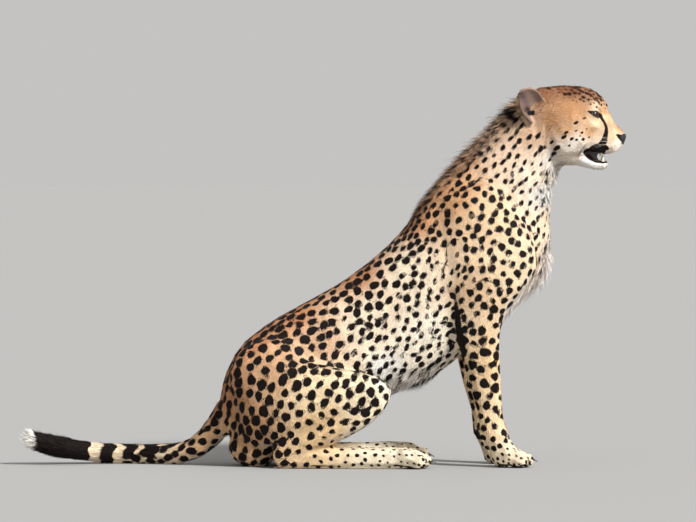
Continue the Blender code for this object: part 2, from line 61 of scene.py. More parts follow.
SHIFTED = np.array(SHIFT)
RNG = np.random.default_rng(20)

VOXEL = 0.0020
SKIN_TRIANGLES = 190_000
TUFTS = 430_000
TUFTS_IN_PIECE = 64_000
LONG_HAIR = 15.0  # length in mm above which a tuft bends in four steps instead of two
LOOSE_RISE = 0.33  # rise above which hair lies in no strict order
FLOOR_Z = 0.0008  # height of the skin where the animal stands on the floor
PATCH = 0.0030  # width of a tuft's place on the bake map
CARPAL_PAD, CARPAL_HALF = (0.345, 0.060, 0.074), (0.014, 0.016, 0.016)  # middle and half size
SPOT_TRIES = 70_000
FAINT_TRIES = 2600
CELL = 0.026  # width of the cells in which spots look for neighbours
PACKED, TOO_CLOSE = 0.76, 0.66  # shares of the spots' distance apart, at first and at last
SWOLLEN, SPOT_GAP = 1.22, 0.0014  # share of the spots' width, and the pale line between two
SPECK_GAP = 0.0088  # least distance of the crown's specks
# Columns of fields, which holds what is known about each point of the skin
GROUND_RGB, INK_RGB, LAY_XYZ = slice(0, 3), slice(3, 6), slice(12, 15)
MARK, LENGTH, RISE, DENSITY, WIDTH, INSIDE = 6, 7, 8, 10, 11, 15
# The way that the left ear opens
EAR_OPENING = np.array((0.42, 1.0, 0.10)) / math.sqrt(0.42**2 + 1.0 + 0.01)


def tone(red, green, blue):
    """A colour as the eye names it, 0 to 255, as the linear numbers that shaders take."""
    share = np.array((red, green, blue)) / 255
    return np.where(share <= 0.04045, share / 12.92, ((share + 0.055) / 1.055) ** 2.4)


# The coat, node by node: length (mm), rise, depth over the skin (mm), density and width (mm),
# and the way that the hair lies on the left side
PLAIN = (8, 0.18, 2.6, 0.4, 1.4)
COAT = {
    "head": (5.5, 0.22, 1.6, 1, 0.9, 0, 0, 0),
    "jaw": (5, 0.26, 1.5, 1, 0.9, -1, 0.1, -0.25),
    "ear": (5, 0.25, 0.2, 1.1, 0.8, -0.45, 0.3, 0.84),
    "neck": (12, 0.28, 4, 0.42, 1.4, -0.55, 0, -0.83),
    "chest": (*PLAIN, -0.5, 0, -0.86),
    "belly": (*PLAIN, -0.6, 0, -0.8),
    "rump": (*PLAIN, -0.72, 0, -0.69),
    "upper_arm": (7.5, 0.18, 2.3, 0.42, 1.35, -0.35, 0, -0.94),
    "forearm": (6.5, 0.18, 1.9, 0.5, 1.2, -0.12, 0, -0.99),
    "forepaw": (4.5, 0.2, 1.1, 0.9, 0.9, 0.8, 0, -0.6),
    "thigh": (*PLAIN, -0.3, 0, -0.95),
    "shank": (7, 0.18, 2.2, 0.45, 1.3, -0.75, 0, -0.66),
    "hind_foot": (5, 0.18, 1.2, 0.7, 1, 0.97, 0, -0.25),
    "tail_base": (12, 0.26, 3.6, 0.4, 1.4, -0.9, 0.05, -0.4),
    "tail_middle": (14, 0.3, 4.5, 0.42, 1.4, -1, -0.05, 0.03),
    "tail_tip": (16, 0.36, 5, 0.5, 1.4, -0.95, -0.25, 0.25),
}
# Ground colours in the side view: place (x, z) and reach (mm), colour
GROUND = [
    (560, 850, 22, 152, 100, 68),  # crown
    (500, 840, 22, 166, 116, 82),
    (612, 835, 14, 178, 130, 94),  # forehead
    (645, 800, 11, 214, 168, 120),  # bridge
    (672, 765, 9, 206, 152, 108),
    (560, 800, 20, 204, 152, 106),  # temple
    (520, 780, 20, 198, 148, 106),
    (545, 755, 14, 214, 170, 128),
    (612, 809, 6, 250, 228, 196),  # over the eye
    (638, 783, 8, 244, 210, 164),  # before the tear line
    (612, 771, 7, 246, 218, 178),  # under the eye
    (600, 752, 10, 220, 178, 134),
    (655, 745, 9, 238, 206, 166),  # muzzle
    (665, 722, 9, 246, 232, 214),
    (560, 715, 18, 244, 232, 218),  # lower cheek
    (600, 680, 18, 246, 242, 236),  # chin
    (520, 690, 22, 238, 228, 216),
    (480, 750, 24, 214, 178, 146),
    (430, 790, 25, 206, 176, 146),  # nape
    (330, 710, 30, 206, 160, 120),
    (400, 700, 35, 242, 214, 186),  # side of the neck
    (470, 660, 32, 249, 228, 204),
    (500, 620, 25, 246, 242, 234),  # throat
    (300, 610, 40, 216, 166, 120),  # shoulder
    (360, 560, 45, 238, 204, 164),
    (420, 470, 50, 243, 217, 180),  # upper arm
    (500, 520, 35, 247, 226, 196),
    (340, 400, 40, 228, 194, 156),
    (380, 250, 50, 246, 212, 166),  # foreleg
    (370, 120, 45, 248, 218, 176),
    (430, 20, 40, 246, 228, 198),
    (210, 560, 35, 214, 156, 110),  # withers and back
    (80, 440, 35, 204, 146, 104),
    (-60, 350, 35, 202, 142, 100),
    (-160, 290, 35, 204, 144, 102),
    (-215, 180, 35, 208, 150, 108),
    (200, 440, 50, 248, 228, 200),  # flank
    (240, 300, 45, 253, 241, 219),
    (100, 320, 50, 248, 228, 200),
    (140, 220, 35, 250, 246, 238),  # belly
    (0, 290, 40, 216, 176, 140),
    (-100, 220, 45, 211, 169, 130),  # haunch
    (-30, 180, 45, 248, 222, 182),
    (90, 180, 40, 248, 228, 192),
    (-160, 110, 40, 202, 154, 112),
    (0, 90, 40, 238, 202, 152),
    (140, 40, 50, 248, 234, 206),  # hind foot
    (-240, 60, 40, 226, 184, 140),  # tail
    (-420, 30, 60, 236, 214, 182),
    (-660, 60, 50, 248, 244, 236),
]
# The spots in the side view: place, reach, distance apart, half width (mm), length over width
SPOTS = [
    (100, 400, 80, 27, 7.8, 1.05),  # flank
    (180, 550, 35, 17, 6.9, 1.4),  # back
    (50, 440, 35, 18, 7.3, 1.45),
    (-100, 360, 38, 21, 8.2, 1.3),
    (-100, 200, 70, 29, 9.2, 1.12),  # haunch
    (60, 160, 50, 29, 8.8, 1.25),
    (-180, 100, 50, 27, 9, 1.2),
    (320, 580, 60, 24, 7, 1.05),  # shoulder
    (400, 480, 60, 24, 6.8, 1.1),
    (285, 450, 32, 20, 5.2, 1.9),  # behind the shoulder
    (260, 330, 50, 19.5, 5, 1.6),  # behind the elbow
    (160, 260, 50, 21, 5.6, 1.5),
    (360, 340, 35, 25, 7.6, 0.85),
    (370, 270, 45, 28, 8.6, 0.75),  # foreleg
    (390, 190, 45, 28, 8.6, 0.85),
    (400, 100, 35, 23, 6.6, 0.9),
    (430, 20, 30, 14, 2.6, 1.1),
    (300, 690, 30, 18.5, 4.9, 1.6),  # nape
    (385, 780, 25, 20, 4.4, 1.6),
    (400, 690, 50, 23, 5, 1.4),  # neck
    (490, 620, 40, 20, 4.3, 1.7),
    (520, 500, 40, 20, 4.6, 1.6),
    (60, 30, 50, 21, 3.6, 1.1),  # hind foot
    (170, 30, 40, 15, 2.4, 1.1),
    (-250, 80, 50, 25, 8, 1.1),  # tail
    (-380, 30, 60, 24, 8, 1.1),
]
# Spots of the cheek: x, z, half length and half width (mm)
CHEEK_SPOTS = [
    (541, 739, 7.2, 4), (546, 749, 6, 3.5), (515, 729, 6, 4), (499, 717, 6, 3.8),
    (526, 715, 8.4, 5.4), (519, 702, 8.4, 5), (510, 689, 6, 3.8), (558, 735, 5.4, 3.5),
    (569, 733, 3.8, 2.8), (584, 734, 4.3, 3.4), (553, 720, 3.4, 2.8), (581, 749, 3.8, 2.8),
    (568, 753, 4.1, 2.2), (568, 771, 6.6, 3.5), (587, 781, 5, 2.2), (598, 739, 2.9, 2.2),
    (577, 742, 2.6, 2.2), (592, 757, 2.4, 1.9),
]
CHEEK_SLOPE = math.radians(32)
# Lines of dark hair in the side view: part of the body, colour, points (x, z, half width; mm)
INK = (20, 9, 7)
BROWN = (104, 66, 44)
STREAK = (150, 92, 60)
LINES = [
    ("face", INK, [  # tear
        (617, 790, 4.4), (623.5, 788, 4.6), (627.5, 781, 3.4), (633.5, 772, 2.9), (637.5, 761, 3.5),
        (637.5, 751, 4.4), (635, 741, 5.6), (632.5, 731, 7), (628, 724, 8)]),
    ("face", INK, [  # lip
        (605, 715, 5), (615, 718, 6.5), (630, 720, 7), (639, 714, 4.5)]),
    ("face", INK, [  # lip edge
        (595, 709, 4.5), (606, 708, 5.5), (620, 707, 6.5), (631, 708, 5.5)]),
    ("face", INK, [  # corner
        (588.5, 708, 3.5), (600, 711, 4)]),
    ("face", INK, [  # lower lip
        (590, 703, 4.5), (600, 693.5, 5), (615, 686.5, 4.8), (630, 684.5, 4.4), (643, 685.5, 4)]),
    ("face", INK, [  # nose
        (662.5, 744, 2.6), (668, 740.5, 5.2), (674, 736.5, 7), (678.5, 741, 6)]),
    ("face", INK, [  # eye corner
        (594, 796.5, 0.8), (599, 795.5, 2.8), (606, 793, 5.2)]),
    ("face", BROWN, [  # brow
        (612, 830, 0.9), (616.5, 822, 1.7), (622.5, 811, 0.9)]),
    ("nape", INK, [  # under the ear
        (443, 783, 3), (456, 764, 2.4), (468, 748, 1.6)]),
    ("nape", INK, [  # behind the ear
        (426, 810, 10), (433, 795, 11), (440, 785, 7)]),
    # Painted shade in the crease behind the elbow
    ("arm", (26, 15, 12), [  # elbow fold
        (296, 390, 1.5), (301, 350, 5.5), (306, 306, 7.5), (317, 255, 6)]),
    # Painted shade: black at the bottom of the ear's hollow
    ("ear", INK, [  # ear notch
        (464, 792.5, 5), (473, 793.5, 6)]),
    ("nape", BROWN, [  # ear root
        (490, 798, 1.6), (498, 812, 1.2)]),
    ("any", STREAK, [  # temple streak
        (516, 825, 0.6), (517, 808, 1.9), (512, 793, 0.7)]),
    ("any", STREAK, [  # front streak
        (527, 820, 0.6), (529, 806, 1.4)]),
    ("any", STREAK, [  # back streak
        (499, 830, 0.8), (505, 818, 2.1), (506, 802, 0.8)]),
    ("any", STREAK, [  # cheek streak
        (524, 780, 0.5), (513, 762, 1.8), (506, 750, 0.7)]),
    ("any", STREAK, [  # jaw streak
        (536, 766, 0.5), (527, 754, 1.4)]),
]
# Painted shade in the hollow of the ear: x, z, reach (mm), colour
EAR_HOLLOW_SHADE = [(447, 836, 7, 112, 90, 92), (450, 827, 8, 100, 80, 84),
              (455, 817, 7, 118, 96, 96), (461, 800, 9, 36, 26, 24)]
# Waves that gather long hair into clumps, as turns of their angle per metre
CLUMPS = [(520.0, 130.0, 210.0), (-260.0, 470.0, 300.0), (180.0, -390.0, 560.0)]
# Waves that darken and lighten the whole coat in small places
TANGLES = [(760.0, 240.0, 310.0), (-420.0, 690.0, 380.0), (350.0, -300.0, 880.0),
           (610.0, 520.0, -450.0)]
# Form that the skin adds to the head, on both sides: place, reach, height (mm)
FORM = [
    ((604, 40, 812.5), 8.5, 2.2),  # brow
    ((617, 30, 810.5), 7.5, 2),
    ((636, 24, 788), 8, -2),  # between eye and bridge
    ((574, 56, 798), 16, -2.5),  # temple
    ((598, 50, 766), 12, 1.6),  # cheekbone
    ((622, 42, 748), 12, -1.6),  # under the cheekbone
    ((652, 26, 723), 11, 1.6),  # whisker pad
    ((626, 38, 723), 8, -1.2),
    ((612, 10, 835), 12, 1.2),  # forehead on each side of its furrow
]
# Dark bands of the tail: start and end along X (m), and how far the skin may face down and
# still be dark: -2 is a band all round, and -0.3 leaves the underside pale
BANDS = [(-0.640, -0.524, -2.0), (-0.496, -0.468, -2.0), (-0.446, -0.422, -0.6),
         (-0.400, -0.374, -0.3)]


def ramp(values, start, end):
    """0 before start, 1 after end, and smooth between them."""
    share = np.clip((values - start) / (end - start), 0, 1)
    return share * share * (3 - 2 * share)


def unit(rows):
    return rows / np.maximum(np.linalg.norm(rows, axis=1), 1e-9)[:, None]


def row_dot(first, second):
    return np.einsum("ij,ij->i", first, second)


def stored(items, name, width=3, kind=np.float32):
    """A property of many items, as one row for each."""
    found = np.empty(len(items) * width, kind)
    items.foreach_get(name, found)
    return found.reshape(-1, width)


def numbers(items, name, width=3):
    return stored(items, name, width).astype(float)


def edges_of(mesh):
    return stored(mesh.edges, "vertices", 2, np.int32)


def normals_of(mesh):
    return numbers(mesh.vertex_normals, "vector")


def fill(items, name, values, kind=np.float32):
    items.foreach_set(name, np.asarray(values).astype(kind).ravel())


def set_points(mesh, points):
    fill(mesh.vertices, "co", points)
    mesh.update()


def smooth(mesh):
    fill(mesh.polygons, "use_smooth", np.ones(len(mesh.polygons)), bool)


def store(mesh, name, values, kind="FLOAT"):
    layer = mesh.attributes.new(name, kind, "POINT")
    fill(layer.data, "vector" if kind == "FLOAT_VECTOR" else "value", values)


def second_material(mesh, points):
    """Gives polygons the second material where their first corner is one of the points."""
    first = [p.vertices[0] for p in mesh.polygons]
    fill(mesh.polygons, "material_index", points[first], np.int32)


def store_colours(mesh, data, marks):
    """What the materials of the coat read, from columns of ground colour and ink."""
    store(mesh, "ground", data[:, GROUND_RGB], "FLOAT_VECTOR")
    store(mesh, "ink", data[:, INK_RGB], "FLOAT_VECTOR")
    store(mesh, "mark", marks)


def spread(rows, edges, rounds, weight=1.0, hold=0.0):
    """Rows evened out along the edges of a mesh. hold is the share of each step given back."""
    first, second = edges.T
    count = len(rows)
    sides = np.bincount(first, minlength=count) + np.bincount(second, minlength=count)
    sides = np.maximum(sides, 1)[:, None]
    for step in range(rounds):
        total = np.stack([
            np.bincount(first, rows[second, k], count) + np.bincount(second, rows[first, k], count)
            for k in range(rows.shape[1])], axis=1)
        rate = -hold if hold and step % 2 else 0.5
        rows = rows + (total / sides - rows) * rate * weight
    return rows


def evened(points, edges, rounds, weight=1.0):
    """Points spread out evenly, by steps that keep the shape from shrinking."""
    return spread(points, edges, rounds, weight, 0.51)


def placed(x, y, z):
    """A place in the frame from the animal's own metres."""
    return Vector((x, y, z)) + SHIFT


def flipped(vector, mirrored):
    """A place or direction of the left side, or for -1 its twin on the right."""
    return Vector((vector.x, vector.y * mirrored, vector.z))


def new_object(name, mesh, *materials):
    obj = bpy.data.objects.new(name, mesh)
    bpy.context.scene.collection.objects.link(obj)
    for material in materials:
        mesh.materials.append(material)
    return obj


def applied(obj):
    """The mesh of an object with its modifiers. The object goes."""
    bpy.context.view_layer.update()
    graph = bpy.context.evaluated_depsgraph_get()
    mesh = bpy.data.meshes.new_from_object(obj.evaluated_get(graph))
    bpy.data.objects.remove(obj)
    return mesh


def remeshed(mesh, voxel):
    obj = new_object("rough", mesh)
    fuse = obj.modifiers.new("fuse", "REMESH")
    fuse.mode = "VOXEL"
    fuse.voxel_size = voxel
    return applied(obj)


def polygons_of(nodes):
    """The polygons of CAD nodes as if they were one mesh, and which node each is of."""
    polygons, owners, start = [], [], 0
    for index, name in enumerate(nodes):
        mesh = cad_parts[name].data
        polygons += [[start + i for i in polygon.vertices] for polygon in mesh.polygons]
        owners += [index] * len(mesh.polygons)
        start += len(mesh.vertices)
    return polygons, owners


def joined(nodes, grow):
    """One mesh of CAD nodes, each with its faces moved outwards."""
    meshes = [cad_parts[name].data for name in nodes]
    points = [numbers(mesh.vertices, "co") + stored(mesh.vertex_normals, "vector") * grow
              for mesh in meshes]
    made = bpy.data.meshes.new("joined")
    made.from_pydata(np.concatenate(points).tolist(), [], polygons_of(nodes)[0])
    return made


def main_shell(mesh):
    """The mesh without the small shells that a remesh may leave inside."""
    first, second = edges_of(mesh).T
    label = np.arange(len(mesh.vertices))
    while True:
        least = np.minimum(label[first], label[second])
        before = label.copy()
        np.minimum.at(label, first, least)
        np.minimum.at(label, second, least)
        label = label[label]
        if (before == label).all():
            break
    names, sizes = np.unique(label, return_counts=True)
    lost = np.flatnonzero(label != names[sizes.argmax()])
    if len(lost):
        bm = bmesh.new()
        bm.from_mesh(mesh)
        bm.verts.ensure_lookup_table()
        bmesh.ops.delete(bm, geom=[bm.verts[i] for i in lost], context="VERTS")
        bm.to_mesh(mesh)
        bm.free()
    return mesh


def tree_of(rows):
    """A tree that finds the nearest row."""
    tree = KDTree(len(rows))
    for index, row in enumerate(rows.tolist()):
        tree.insert(row, index)
    tree.balance()
    return tree


def found_in(tree, rows):
    """The nearest row of a tree to each of these, as indices and distances."""
    found = [tree.find(row) for row in rows.tolist()]
    return np.array([f[1] for f in found]), np.array([f[2] for f in found])


def blurred(places, table):
    """Values blended over all points by distance in the side view. A row gives x, z and reach
    in mm, and then its values."""
    total = np.zeros((len(places), len(table[0]) - 3))
    weights = np.zeros(len(places))
    for row in table:
        x, z, reach = (part / 1000 for part in row[:3])
        away = ((places[:, 0] - x) ** 2 + (places[:, 2] - z) ** 2) / reach**2
        weight = 1 / (1e-4 + away) ** 1.6
        total += weight[:, None] * np.array(row[3:], float)
        weights += weight
    return total / weights[:, None]


def from_run(places, start, end):
    """How far points are from a straight run, and where along it, 0 to 1."""
    run = end - start
    share = np.clip((places - start) @ run / (run @ run), 0, 1)
    return np.linalg.norm(places - start - share[:, None] * run, axis=1), share


def line_depth(places, points):
    """How far inside a line of dark hair each point is, in the side view."""
    best = np.full(len(places), -1.0)
    for (*start, thick), (*end, thin) in zip(points, points[1:]):
        away, share = from_run(places[:, [0, 2]], np.array(start) / 1000, np.array(end) / 1000)
        best = np.maximum(best, (thick + (thin - thick) * share) / 1000 - away)
    return best


# 1. The skin's shape

APART = {"eye_left", "eye_right", "nose", "teeth_upper", "teeth_lower", "tongue"}
flesh = [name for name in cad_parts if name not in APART]
skin_mesh = main_shell(remeshed(joined(flesh, 0.0010), VOXEL))
edges = edges_of(skin_mesh)
co = numbers(skin_mesh.vertices, "co") - SHIFTED

# The CAD node that each point belongs to
cad_points = [v.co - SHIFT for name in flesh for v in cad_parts[name].data.vertices]
cad_faces, face_node = polygons_of(flesh)
cad_tree = BVHTree.FromPolygons(cad_points, cad_faces)
node = np.array([face_node[cad_tree.find_nearest(point)[2]] for point in co.tolist()])
kind = [name.replace("_left", "").replace("_right", "") for name in flesh]


def at(*kinds):
    """1 where a point belongs to a node of these kinds."""
    wanted = [i for i, name in enumerate(kind) if name in kinds]
    return np.isin(node, wanted).astype(float)


in_face = at("head", "jaw") * ramp(co[:, 0], 0.55, 0.60)
in_head = at("head", "jaw", "ear")
weight = 1 - 0.45 * in_face - 0.3 * at("ear", "forepaw", "hind_foot") * (1 - in_face)
weight = spread(weight[:, None], edges, 10)
co = evened(co, edges, 44, weight)
set_points(skin_mesh, co)
normal = normals_of(skin_mesh)
side = np.where(co[:, 1] < 0, -1.0, 1.0)
mirror = np.stack([np.ones(len(co)), side, np.ones(len(co))], axis=1)

for (x, y, z), reach, height in FORM:
    for mirrored in (-1, 1):
        away = np.linalg.norm(co - np.array((x, y * mirrored, z)) / 1000, axis=1)
        bump = in_head * np.exp(-(away / (reach / 1000)) ** 2) * height / 1000
        co = co + normal * bump[:, None]
set_points(skin_mesh, co)
normal = normals_of(skin_mesh)
px, py, pz = co.T
off_middle = abs(py)

# The inside of the mouth is where the skin faces more skin close by
inside = np.zeros(len(co))
near_mouth = np.flatnonzero((px > 0.568) & (px < 0.662) & (off_middle < 0.027)
                            & (pz > 0.672) & (pz < 0.724))
shell_tree = BVHTree.FromPolygons(co.tolist(), [list(p.vertices) for p in skin_mesh.polygons])
for i in near_mouth:
    origin = Vector(co[i] + normal[i] * 0.0015)
    if shell_tree.ray_cast(origin, Vector(normal[i]), 0.040)[0]:
        inside[i] = 1.0
inside = ramp(spread(inside[:, None], edges, 3)[:, 0], 0.3, 0.7)

# Length, rise, depth, density and width of the coat
known = np.array([COAT[name] for name in kind])[node]
coat = known[:, :5]
up_back = row_dot(normal, unit(np.array([[-0.62, 0.0, 0.78]])).repeat(len(co), 0))
ears = ramp(spread(at("ear")[:, None], edges, 8)[:, 0], 0.1, 0.6)
nape = ((1 - ears) * ramp(up_back, 0.30, 0.75) * (1 - ramp(off_middle, 0.022, 0.056))
        * ramp(px, 0.12, 0.24) * (1 - ramp(px, 0.465, 0.500)) * ramp(pz, 0.50, 0.60))
crest = nape * ramp(px, 0.26, 0.34)
belly = (at("belly", "chest", "rump") * ramp(-normal[:, 2], 0.35, 0.75)
         * (1 - ramp(px, 0.24, 0.30)) * ramp(px, -0.02, 0.05))
fringe = (at("chest", "neck", "upper_arm") * ramp(normal[:, 0] - 0.6 * normal[:, 2], 0.55, 0.95)
          * (1 - ramp(pz, 0.48, 0.52)) * ramp(px, 0.36, 0.42)
          * (1 - ramp(off_middle, 0.050, 0.082)))
throat = (at("neck", "head", "jaw") * ramp(normal[:, 0] - 0.5 * normal[:, 2], 0.3, 0.8)
          * (1 - ramp(px, 0.58, 0.62)) * ramp(pz, 0.55, 0.62) * (1 - ramp(pz, 0.70, 0.73)))
ruff = at("head", "neck") * (1 - ramp(px, 0.50, 0.55)) * ramp(pz, 0.66, 0.70)
brush = 1 - ramp(px, -0.66, -0.62)
thigh_back = at("thigh", "rump") * (1 - ramp(px, -0.20, -0.16)) * (1 - ramp(pz, 0.14, 0.2))
muzzle = in_head * ramp(px, 0.600, 0.635)
crown_top = at("head") * ramp(pz + 0.25 * (px - 0.55), 0.826, 0.842)
eye_near = np.exp(-(np.linalg.norm(co - np.array(EYE) * mirror, axis=1) / 0.024) ** 4)
for amount, wanted in (
    (ruff * 0.7, (13.0, 0.34, 4.0, 0.65, 1.2)), (nape, (19.0, 0.82, 7.5, 0.62, 1.6)),
    (crest, (21.5, 1.20, 9.0, 0.72, 1.8)),
    (belly, (24.0, 0.80, 6.5, 0.50, 1.5)), (fringe, (24.0, 0.75, 8.0, 0.60, 1.5)),
    (throat, (17.0, 0.75, 5.0, 0.60, 1.4)),
    (brush, (22.0, 0.45, 7.0, 0.60, 1.3)), (thigh_back, (14.0, 0.26, 4.0, 0.40, 1.4)),
    (crown_top, (9.0, 0.62, 2.0, 0.90, 1.05)), (muzzle, (3.6, 0.18, 1.0, 1.55, 0.65)),
    (eye_near, (2.8, 0.14, 0.7, 1.80, 0.60)),
):
    coat = coat + amount[:, None] * (np.array(wanted) - coat)
coat = spread(coat, edges, 24)
coat += ears[:, None] * (np.array(COAT["ear"][:5]) - coat)
on_floor = 1 - ramp(pz - FLOOR_Z, 0.0005, 0.004)
depth = coat[:, 2] / 1000 + 0.0010
depth = depth * (1 - 0.8 * inside) * (1 - on_floor) + on_floor * 0.0009
depth = depth - 0.0006 * at("ear")

# The way that the hair lies
lay = known[:, 5:] * mirror
from_nose = co - np.array((0.690, 0.0, 0.742))
lay = lay + at("head")[:, None] * unit(from_nose + np.array((0, 0, -0.012)))
paw_front = at("forepaw", "hind_foot") * ramp(normal[:, 0], 0.3, 0.9)
lay[:, 2] -= paw_front * 0.8
lay = spread(lay, edges, 60)
pole = np.array(EYE + EYE_LOOK * EYE_RADIUS) * mirror
from_eye = co - pole
round_eye = np.exp(-(np.linalg.norm(from_eye, axis=1) / 0.022) ** 4)
lay = lay * (1 - 0.8 * round_eye)[:, None] + round_eye[:, None] * unit(from_eye)
waves = np.stack([np.sin(co @ np.array(axis) * 210 + start) for axis, start in (
    ((1.0, 0.3, 0.2), 0.0), ((-0.2, 1.0, 0.4), 1.3), ((0.3, -0.5, 1.0), 2.1))], axis=1)
lay = unit(lay) + 0.10 * waves * (1 - in_face)[:, None]
lay = unit(lay - row_dot(lay, normal)[:, None] * normal)

co = co - normal * depth[:, None]
co = evened(co, edges, 6)
co[:, 2] = np.maximum(co[:, 2], FLOOR_Z)
set_points(skin_mesh, co)
normal = normals_of(skin_mesh)
px, py, pz = co.T
off_middle = abs(py)

# 2. Colours and markings

ground = blurred(co, [(*row[:3], *tone(*row[3:])) for row in GROUND])


def tint(amount, *colour):
    """Blends a colour into the ground."""
    ground[:] += amount[:, None] * (tone(*colour) - ground)


up = normal[:, 2] * 0.83 - normal[:, 0] * 0.55
under = ramp(-up, 0.35, 0.9) * (1 - in_head) * (1 - at("forepaw", "hind_foot"))
tint(under * 0.6, 238, 232, 222)
over = ramp(up, 0.45, 0.95) * at("rump", "belly", "chest")
tint(over * 0.55, 190, 130, 88)
tint(np.maximum(nape * 0.6, crest * 0.85), 206, 170, 140)
tint(np.maximum(fringe, belly * 0.8) * 0.75, 246, 239, 236)
opening = row_dot(normal, EAR_OPENING * mirror)
shaded_ear_inside = at("ear") * ramp(opening, 0.0, 0.4)
ear_back = at("ear") * ramp(-opening, 0.0, 0.3)
# Painted shade: the inside of the ear greyer and darker than the fur round it
tint(shaded_ear_inside, 160, 132, 118)
# Painted shade in the ear's hollow: grey along the rear of its inside and black at its bottom
for x, z, reach, *colour in EAR_HOLLOW_SHADE:
    away = np.hypot(px - x / 1000, pz - z / 1000)
    tint(at("ear") * (1 - ear_back) * np.exp(-(away / (reach / 1000)) ** 2), *colour)
rim = at("ear") * ramp(pz, 0.838, 0.845)
tint(rim * 0.8, 198, 170, 150)
# Painted shade: the skin inside the mouth nearly black
tint(inside, 34, 18, 20)
sole = ramp(-normal[:, 2], 0.5, 0.9) * (pz < 0.012) * (px > -0.13)
carpal = (co - np.array(CARPAL_PAD) * mirror) / np.array(CARPAL_HALF)
carpal = np.exp(-np.linalg.norm(carpal, axis=1) ** 4)

ink = np.tile(tone(*INK), (len(co), 1))
mark = np.full(len(co), -1.0)


def add_mark(values, colour=None):
    """Adds dark hair where values, the depth inside its outline in metres, are above 0."""
    global mark
    if colour is not None:
        ink[values > np.maximum(mark, -0.0015)] = colour
    mark = np.maximum(mark, values)


# Spots: places that keep their distance, each then moved to the middle of its own area
sizes = blurred(co, SPOTS)
near_ear = ((px > 0.452) & (pz > 0.752) | (px > 0.425) & (pz > 0.785)
            | (px > 0.494) & (pz > 0.672))
bare = (in_head > 0) | (px < -0.45) | (sole > 0.5) | near_ear
order = RNG.permutation(len(co))[:SPOT_TRIES]
sample = order[~bare[order]]
cells, spots = {}, []
for i in sample:
    place = co[i]
    key = tuple((place // CELL).astype(int))
    apart = sizes[i, 0] * PACKED / 1000
    if not any((away := place - other) @ away < (0.5 * (apart + gap)) ** 2
               for dx, dy, dz in product((-1, 0, 1), repeat=3)
               for other, gap in cells.get((key[0] + dx, key[1] + dy, key[2] + dz), ())):
        cells.setdefault(key, []).append((place, apart))
        spots.append(i)
seeds = co[spots]
for _ in range(3):
    owner = found_in(tree_of(seeds), co[sample])[0]
    share = np.maximum(np.bincount(owner, minlength=len(seeds)), 1)[:, None]
    middle = np.stack([np.bincount(owner, co[sample, k], len(seeds)) for k in range(3)], axis=1)
    seeds = seeds + 0.6 * (middle / share - seeds)
spots = sample[found_in(tree_of(co[sample]), seeds)[0]]
spot_tree = tree_of(co[spots])
alone = [all(found[1] >= k for found in spot_tree.find_range(
    co[i], sizes[i, 0] * PACKED * TOO_CLOSE / 1000)) for k, i in enumerate(spots)]
spots = spots[alone]
spot_tree = tree_of(co[spots])
size = RNG.normal(SWOLLEN, 0.13, len(spots)).clip(0.7, 1.4) * sizes[spots, 1] / 1000
longer = sizes[spots, 2] * RNG.uniform(0.85, 1.2, len(spots))
lobes = RNG.uniform(0, 2 * math.pi, (len(spots), 3))
turned = RNG.normal(0, 0.22, len(spots))
closest = np.array([[found[1] for found in spot_tree.find_n(point, 3)] for point in co.tolist()])
first_in, second_in = np.full(len(co), -1.0), np.full(len(co), -1.0)
for pick in closest.T:
    middle, out, way = (rows[spots[pick]] for rows in (co, normal, lay))
    away = co - middle
    along, beside, lift = (row_dot(away, axis) for axis in (way, np.cross(out, way), out))
    cosine, sine = np.cos(turned[pick]), np.sin(turned[pick])
    along, beside = along * cosine - beside * sine, along * sine + beside * cosine
    angle = np.arctan2(beside, along)
    wobble = 1
    for k, (turns, height) in enumerate(((2, 0.08), (3, 0.06), (5, 0.03))):
        wobble = wobble + height * np.sin(turns * angle + lobes[pick, k])
    root = np.sqrt(longer[pick])
    depth_in = size[pick] * wobble - np.sqrt(
        (along / root) ** 2 + (beside * root) ** 2 + 0.4 * lift**2)
    second_in = np.maximum(second_in, np.minimum(first_in, depth_in))
    first_in = np.maximum(first_in, depth_in)
depth_in = np.minimum(first_in, 0.5 * (first_in - second_in) - SPOT_GAP)
add_mark(np.where(bare | (fringe > 0.55), -1.0, depth_in))
# Faint small spots where the coat is still plain
faint = RNG.permutation(len(co))[:FAINT_TRIES]
faint = faint[~bare[faint] & (mark[faint] < -0.0035) & (co[faint, 2] > 0.10)]
away = found_in(tree_of(co[faint]), co)[1]
add_mark(np.where(bare, -1.0, 0.0016 - away), tone(120, 74, 48))

# Specks of the crown
crown = at("head", "neck") * (1 - ears) * ramp(px, 0.468, 0.484) * ramp(
    pz + 0.25 * (px - 0.55), 0.815, 0.83)
speck = RNG.permutation(np.flatnonzero(crown > 0.5))
kept = []
for i in speck[:2500]:
    if all(((co[i] - co[j]) ** 2).sum() > SPECK_GAP**2 for j in kept):
        kept.append(i)
speck_size = RNG.uniform(0.0017, 0.0034, len(kept)) * (0.8 + 0.9 * crown_top[kept])
head_points = np.flatnonzero(crown > 0.1)
found, away = found_in(tree_of(co[kept]), co[head_points])
values = np.full(len(co), -1.0)
values[head_points] = speck_size[found] - away
add_mark(values, tone(66, 34, 24))

